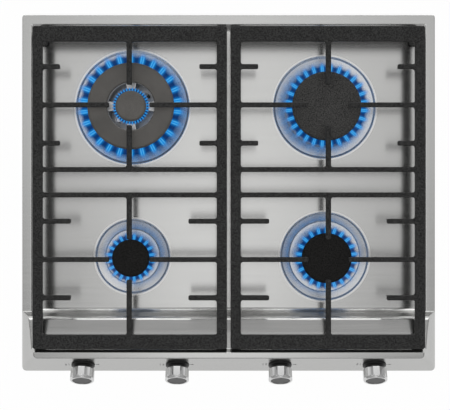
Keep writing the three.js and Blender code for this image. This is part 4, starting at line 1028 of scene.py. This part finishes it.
def tap_matrix(x):
    return Matrix.Translation((x, TAP_Y, TAP_Z)) @ Matrix.Rotation(TAP_TILT, 4, "X")


def fluted(radius, hollow):
    """The knob's many-sided outline, whose sides are slightly hollow and whose corners are rounded."""
    points, radii = [], []
    side = math.radians(360 / KNOB_SIDES)
    for i in range(KNOB_SIDES):
        corner = math.radians(360 / KNOB_SIDES * (i + 0.5))
        points.append((radius * math.cos(corner), radius * math.sin(corner)))
        radii.append(0.9)
        for step in (0.25, 0.5, 0.75):
            turn = corner + side * step
            flat = radius * math.cos(side / 2) / math.cos(side * (step - 0.5))
            deep = flat - hollow * math.sin(math.pi * step)
            points.append((deep * math.cos(turn), deep * math.sin(turn)))
            radii.append(0.0)
    return soften(points, radii, 3)


def knob_rim_into(bm, band, face):
    """The bright rim and the sunk face, with the face in the second material."""
    neck = KNOB_RIM_RADIUS - 0.7
    points = [
        (0.0, KNOB_WEB), (neck, KNOB_WEB), (neck, band + 0.3), (KNOB_RIM_RADIUS, band + 0.7),
        (KNOB_RIM_RADIUS - 0.2, KNOB_FRONT), (KNOB_FACE_RADIUS + 0.2, KNOB_FRONT), (KNOB_FACE_RADIUS, face),
        (0.0, face),
    ]
    rim = soften(points, [0, 0.3, 0.2, 0.4, 2.1, 0.7, 0.2, 0], 5)
    stretches = zip(rim, rim[1:] + rim[:1])
    slots = [int(max(a.x, b.x) < KNOB_FACE_RADIUS + 0.1 and a.y > face - 1.0) for a, b in stretches]
    lathe_into(bm, rim, 96, materials=slots)


def make_knob(index, x):
    bm = bmesh.new()
    band = KNOB_FRONT - KNOB_BAND
    face = KNOB_FRONT - KNOB_FACE_SINK
    shell = [fluted(KNOB_RADIUS, KNOB_HOLLOW), circle(0.0, 0.0, KNOB_SHELL_BORE, 72)]
    levels = [
        (0.5, KNOB_BACK), (0.25, KNOB_BACK + 0.3), (0.1, KNOB_BACK + 1.0),
        (0.0, band - 0.4), (0.35, band + 0.1),
    ]
    slab_into(bm, shell, levels)
    knob_rim_into(bm, band, face)
    hub = rectangle(KNOB_BORE, KNOB_HUB_RADIUS, KNOB_HUB_BACK, KNOB_WEB + 0.3)
    lathe_into(bm, soften(hub, [0.3, 0.5, 0, 0], 2), 48)
    pointer = rectangle(-POINTER_HALF_WIDTH, POINTER_HALF_WIDTH, POINTER_START, KNOB_FACE_RADIUS - 0.4)
    slab_into(bm, [soften(pointer, 0.5, 3)], [(0.0, face - 0.4), (0.0, face + 0.2), (0.2, face + 0.35)], 2)
    bmesh.ops.transform(bm, matrix=tap_matrix(x), verts=bm.verts)
    piece = finish_mesh(f"knob_shell_{index}", bm, [CHROME, KNOB_FACE, PLASTIC], 28.0)
    dressed(piece, f"tap_knob_{index}", f"knob_{index}")


COLLAR_BORE = 4.2
COLLAR_TUBE = 5.6
COLLAR_BACK = -1.9
COLLAR_SEAT = 0.3
COLLAR_RADIUS = 16.5
COLLAR_FRONT_RADIUS = 13.3
COLLAR_FRONT = 5.0


def make_bezel(index, x):
    points = [
        (COLLAR_BORE, COLLAR_BACK), (COLLAR_TUBE, COLLAR_BACK), (COLLAR_TUBE, COLLAR_SEAT),
        (COLLAR_RADIUS, COLLAR_SEAT), (COLLAR_RADIUS, COLLAR_SEAT + 1.6),
        (COLLAR_FRONT_RADIUS, COLLAR_FRONT - 1.2), (COLLAR_FRONT_RADIUS, COLLAR_FRONT),
        (COLLAR_BORE, COLLAR_FRONT),
    ]
    profile = soften(points, [0.2, 0.2, 0.3, 0.3, 0.8, 1.2, 0.4, 0.5], 4)
    bm = bmesh.new()
    lathe_into(bm, profile, 96)
    bmesh.ops.transform(bm, matrix=tap_matrix(x), verts=bm.verts)
    piece = finish_mesh(f"collar_{index}", bm, [PLASTIC], 35.0)
    dressed(piece, "root", f"bezel_{index}")


# ---- Printed dots on the fascia ----

DOT = 1.35
DOT_LIFT = 1.5
GRID_X = -22.0
GRID_STEP = (2.2, 2.0)
ROW_X = 17.0
ROW_STEP = 2.4
OWN_DOTS = [(-1, -1), (1, -1), (1, 1), (-1, 1)]


def make_marks():
    """Left of each knob four dots for the four burners, its own one largest; right of it a rising row."""
    bm = bmesh.new()
    for x, own in zip(KNOB_XS, OWN_DOTS):
        dots = [(ROW_X + ROW_STEP * k, 0.0, DOT * (0.45 + 0.25 * k)) for k in range(3)]
        for i, j in OWN_DOTS:
            radius = DOT if (i, j) == own else DOT * 0.6
            dots.append((GRID_X + GRID_STEP[0] * i, GRID_STEP[1] * j, radius))
        for u, v, radius in dots:
            first = len(bm.verts)
            slab_into(bm, [circle(u, v + DOT_LIFT, radius, 20)], [(0.0, -0.1), (0.0, 0.04), (0.08, 0.08)])
            bm.verts.ensure_lookup_table()
            bmesh.ops.transform(bm, matrix=tap_matrix(x), verts=bm.verts[first:])
    piece = finish_mesh("fascia_marks", bm, [PRINT], 35.0)
    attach(piece, "root")


for tap_index, tap_x in enumerate(KNOB_XS, 1):
    make_knob(tap_index, tap_x)
    make_bezel(tap_index, tap_x)
make_marks()


# ---- Flames ----

FLAME_ROOT_Z = 69.2
FLAME_RISE = 6.5
FLAME_GAP = 0.2
FLAME_COLUMNS = 24
FLAME_ROWS = 9
TONGUE_SHARE = 0.14
TONGUE_LIFT = 1.1
INNER_FLAME_RADIUS = 27.5
INNER_FLAME_RISE = 2.2
HAZE_RISE = 8.0
HAZE_HALF = 6.0
HAZE_LIFT = 4.0
HAZE_SEGMENTS = 120
HAZE_STOPS = [(0.0, 0.0), (0.35, 0.08), (0.65, 0.05), (1.0, 0.0)]


def flame_material():
    """Glowing gas, and painted shade where the dark dish shows between the tongues. Its colour and its
    clearness come from the mesh's own colours.
    """
    made = material("flame_blue", (0.0, 0.0, 0.0), 1.0, 0.0, 0.0, 0.0)
    tone = node(made, "ShaderNodeVertexColor", layer_name="tone")
    shader = shader_of(made)
    link(made, tone.outputs["Color"], shader.inputs["Emission Color"])
    link(made, tone.outputs["Alpha"], shader.inputs["Alpha"])
    shader.inputs["Emission Strength"].default_value = 1.0
    return made


FLAME = flame_material()
BRIGHT = (0.001, 0.23, 0.7)
STREAK = (0.16, 0.62, 0.98)
# Thin blue gas over painted shade: this nearly opaque dark navy stands in for the shadowed dish between the
# tongues.
GAS_OVER_PAINTED_SHADE = (0.002, 0.03, 0.14)
VIOLET = (0.26, 0.36, 0.55)


def mixed(a, b, share):
    return tuple(p * (1 - share) + q * share for p, q in zip(a, b))


def flame_ring(bm, layer, centre, inner, outer, count, rise):
    """A pleated bell of gas: one bright tongue at each slot with two light streaks; between the tongues, thin
    blue gas over painted shade of the dish below.
    """
    total = count * FLAME_COLUMNS
    grid = []
    for row in range(FLAME_ROWS + 1):
        along = row / FLAME_ROWS
        swell = TONGUE_LIFT * math.sin(math.pi * min(along * 1.1, 1.0))
        ring = []
        for k in range(total):
            part = (k % FLAME_COLUMNS) / FLAME_COLUMNS
            tongue = 0.5 + 0.5 * math.cos(2 * math.pi * part)
            reach = inner + (outer - inner) * along * (1 - TONGUE_SHARE + TONGUE_SHARE * tongue)
            turn = 2 * math.pi * (k / FLAME_COLUMNS + 0.5) / count
            x = centre[0] + reach * math.cos(turn)
            y = centre[1] + reach * math.sin(turn)
            vert = bm.verts.new((x, y, FLAME_ROOT_Z + rise * along ** 1.6 + swell * (tongue - 0.5)))
            ring.append((vert, along, tongue, part))
        grid.append(ring)
    for low, high in zip(grid, grid[1:]):
        for k in range(total):
            n = (k + 1) % total
            corners = [low[k], low[n], high[n], high[k]]
            face = bm.faces.new([c[0] for c in corners])
            for loop, (_, along, tongue, part) in zip(face.loops, corners):
                loop[layer] = gas_tone(along, tongue, part)


def gas_tone(along, tongue, part):
    """Colour and clearness: painted shade in dark navy between the tongues, a streak on both sides of each,
    pale and faint tips.
    """
    off_middle = min(part, 1.0 - part)
    streak = max(0.0, 1.0 - abs(off_middle - 0.1) / 0.06)
    colour = mixed(GAS_OVER_PAINTED_SHADE, BRIGHT, min(1.0, 1.2 * tongue ** 1.6))
    colour = mixed(colour, STREAK, 0.9 * streak * math.sin(math.pi * min(1.0, along * 1.2)))
    tip = max(0.0, (along - 0.6) / 0.4)
    colour = mixed(colour, VIOLET, 0.5 * tip)
    alpha = 0.94 * (1.0 - tip) ** (1.0 + 1.2 * (1.0 - tongue))
    if along < 0.08:
        alpha *= 0.75
    return (*colour, alpha)


def haze_ring(bm, layer, centre, inner, outer):
    """The faint outer mantle of the flames."""
    rings = []
    for along, alpha in HAZE_STOPS:
        radius = inner + (outer - inner) * along
        z = FLAME_ROOT_Z + HAZE_LIFT + HAZE_RISE * along
        rings.append(([bm.verts.new((p.x, p.y, z)) for p in circle(*centre, radius, HAZE_SEGMENTS)], alpha))
    for (low, low_alpha), (high, high_alpha) in zip(rings, rings[1:]):
        for k in range(HAZE_SEGMENTS):
            n = (k + 1) % HAZE_SEGMENTS
            face = bm.faces.new((low[k], low[n], high[n], high[k]))
            for loop, alpha in zip(face.loops, (low_alpha, low_alpha, high_alpha, high_alpha)):
                loop[layer] = (*VIOLET, alpha)


def make_flames(name, burner):
    bm = bmesh.new()
    layer = bm.loops.layers.float_color.new("tone")
    centre = centre_of(burner)
    reach = burner["reach"]
    flame_ring(bm, layer, centre, crown_radius(burner) + FLAME_GAP, reach, burner["ports"], FLAME_RISE)
    haze_ring(bm, layer, centre, reach - HAZE_HALF, reach + HAZE_HALF)
    if name == "rear_left":
        inner = HUB_RADIUS + FLAME_GAP
        flame_ring(bm, layer, centre, inner, INNER_FLAME_RADIUS, INNER_PORTS, INNER_FLAME_RISE)
    piece = finish_mesh(f"flames_{name}", bm, [FLAME], 180.0, False)
    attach(piece, f"{name}_crown")


for flame_name, flame_burner in BURNERS.items():
    make_flames(flame_name, flame_burner)


# ---- Camera, light and floor ----

CAMERA_PLACE = (-0.0095, 0.0257, 1.5)
LENS = 80.5
PHOTO_WIDTH_PX = 450.0
SHIFT_PX = (3.0, -30.0)


def make_camera():
    data = bpy.data.cameras.new("camera")
    data.lens = LENS
    data.sensor_width = 36.0
    data.shift_x, data.shift_y = (shift / PHOTO_WIDTH_PX for shift in SHIFT_PX)
    data.clip_end = 50.0
    obj = add_object("camera", data)
    obj.location = CAMERA_PLACE
    bpy.context.scene.camera = obj


def make_area(name, place, target, size, power):
    data = bpy.data.lights.new(name, "AREA")
    data.shape = "RECTANGLE"
    data.size, data.size_y = size
    data.energy = power
    obj = add_object(name, data)
    obj.location = place
    obj.rotation_euler = (Vector(target) - Vector(place)).to_track_quat("-Z", "Y").to_euler()


SKY_BASE = 0.38
# The brighter patches of the sky, as (direction, how narrow each way, strength).
SKY_GLOWS = [
    ((0.0, 0.1, 1.0), (2.0, 4.3, 0.6), 0.95),
    ((0.0, -0.14, 1.0), (6.0, 6.0, 0.6), 1.2),
    ((0.0, 0.92, 0.35), (0.7, 2.2, 2.2), 1.3),
]


def sky_level(world):
    """Even studio light with soft brighter patches overhead, by the direction that a ray leaves in."""
    place = node(world, "ShaderNodeTexCoord")
    total = None
    for centre, spread, strength in SKY_GLOWS:
        aim = node(world, "ShaderNodeMapping")
        set_inputs(aim, {"Scale": spread, "Location": -Vector(centre) * Vector(spread)})
        glow = node(world, "ShaderNodeTexGradient", gradient_type="SPHERICAL")
        link(world, place.outputs["Generated"], aim.inputs["Vector"])
        link(world, aim.outputs["Vector"], glow.inputs["Vector"])
        added = node(world, "ShaderNodeMath", operation="MULTIPLY_ADD")
        set_inputs(added, {1: strength, 2: SKY_BASE})
        link(world, glow.outputs["Fac"], added.inputs[0])
        if total is not None:
            link(world, total, added.inputs[2])
        total = added.outputs["Value"]
    return total


def white_background(world):
    made = node(world, "ShaderNodeBackground")
    set_inputs(made, {"Color": (1.0, 1.0, 1.0, 1.0), "Strength": 1.0})
    return made


def make_world():
    """The studio sky for all light, and plain white where the camera looks past the object."""
    world = bpy.data.worlds.new("studio")
    world.use_nodes = True
    bpy.context.scene.world = world
    world.node_tree.nodes.clear()
    out = node(world, "ShaderNodeOutputWorld")
    room = white_background(world)
    seen = white_background(world)
    link(world, sky_level(world), room.inputs["Strength"])
    path = node(world, "ShaderNodeLightPath")
    mix = node(world, "ShaderNodeMixShader")
    link(world, path.outputs["Is Camera Ray"], mix.inputs["Fac"])
    link(world, room.outputs["Background"], mix.inputs[1])
    link(world, seen.outputs["Background"], mix.inputs[2])
    link(world, mix.outputs["Shader"], out.inputs["Surface"])


FLOOR_CAMERA_SHARE = 0.985
FLOOR_GLOSSY_SHARE = 0.6
FLOOR_HALF = 4000.0
FLOOR_PLACE = (0, 0, -0.0005)


def floor_material():
    """White paper that shows near white to the camera and, less so, in reflections."""
    made = material("floor_white", (0.9, 0.9, 0.9), 0.9)
    glow = node(made, "ShaderNodeEmission")
    path = node(made, "ShaderNodeLightPath")
    camera_share = node(made, "ShaderNodeMath", operation="MULTIPLY")
    camera_share.inputs[1].default_value = FLOOR_CAMERA_SHARE
    share = node(made, "ShaderNodeMath", operation="MULTIPLY_ADD")
    share.inputs[1].default_value = FLOOR_GLOSSY_SHARE
    mix = node(made, "ShaderNodeMixShader")
    link(made, path.outputs["Is Camera Ray"], camera_share.inputs[0])
    link(made, path.outputs["Is Glossy Ray"], share.inputs[0])
    link(made, camera_share.outputs["Value"], share.inputs[2])
    link(made, share.outputs["Value"], mix.inputs["Fac"])
    link(made, shader_of(made).outputs["BSDF"], mix.inputs[1])
    link(made, glow.outputs["Emission"], mix.inputs[2])
    link(made, mix.outputs["Shader"], made.node_tree.nodes["Material Output"].inputs["Surface"])
    return made


def make_floor():
    bm = bmesh.new()
    bmesh.ops.create_grid(bm, x_segments=1, y_segments=1, size=FLOOR_HALF)
    obj = finish_mesh("floor", bm, [floor_material()], 30.0, False)
    obj.location = FLOOR_PLACE


# Each lamp's name, place, target and size in metres, and its power in watts.
WINDOWS = [
    ("rear_window", (0.0, 2.2, 0.95), (0.0, 0.1, 0.05), (2.6, 0.6), 7.0),
    ("front_window", (0.0, -1.05, 1.45), (0.0, 0.0, 0.05), (1.1, 0.3), 0.7),
]

make_camera()
make_world()
for window in WINDOWS:
    make_area(*window)
make_floor()
bpy.context.scene.view_settings.view_transform = "Standard"
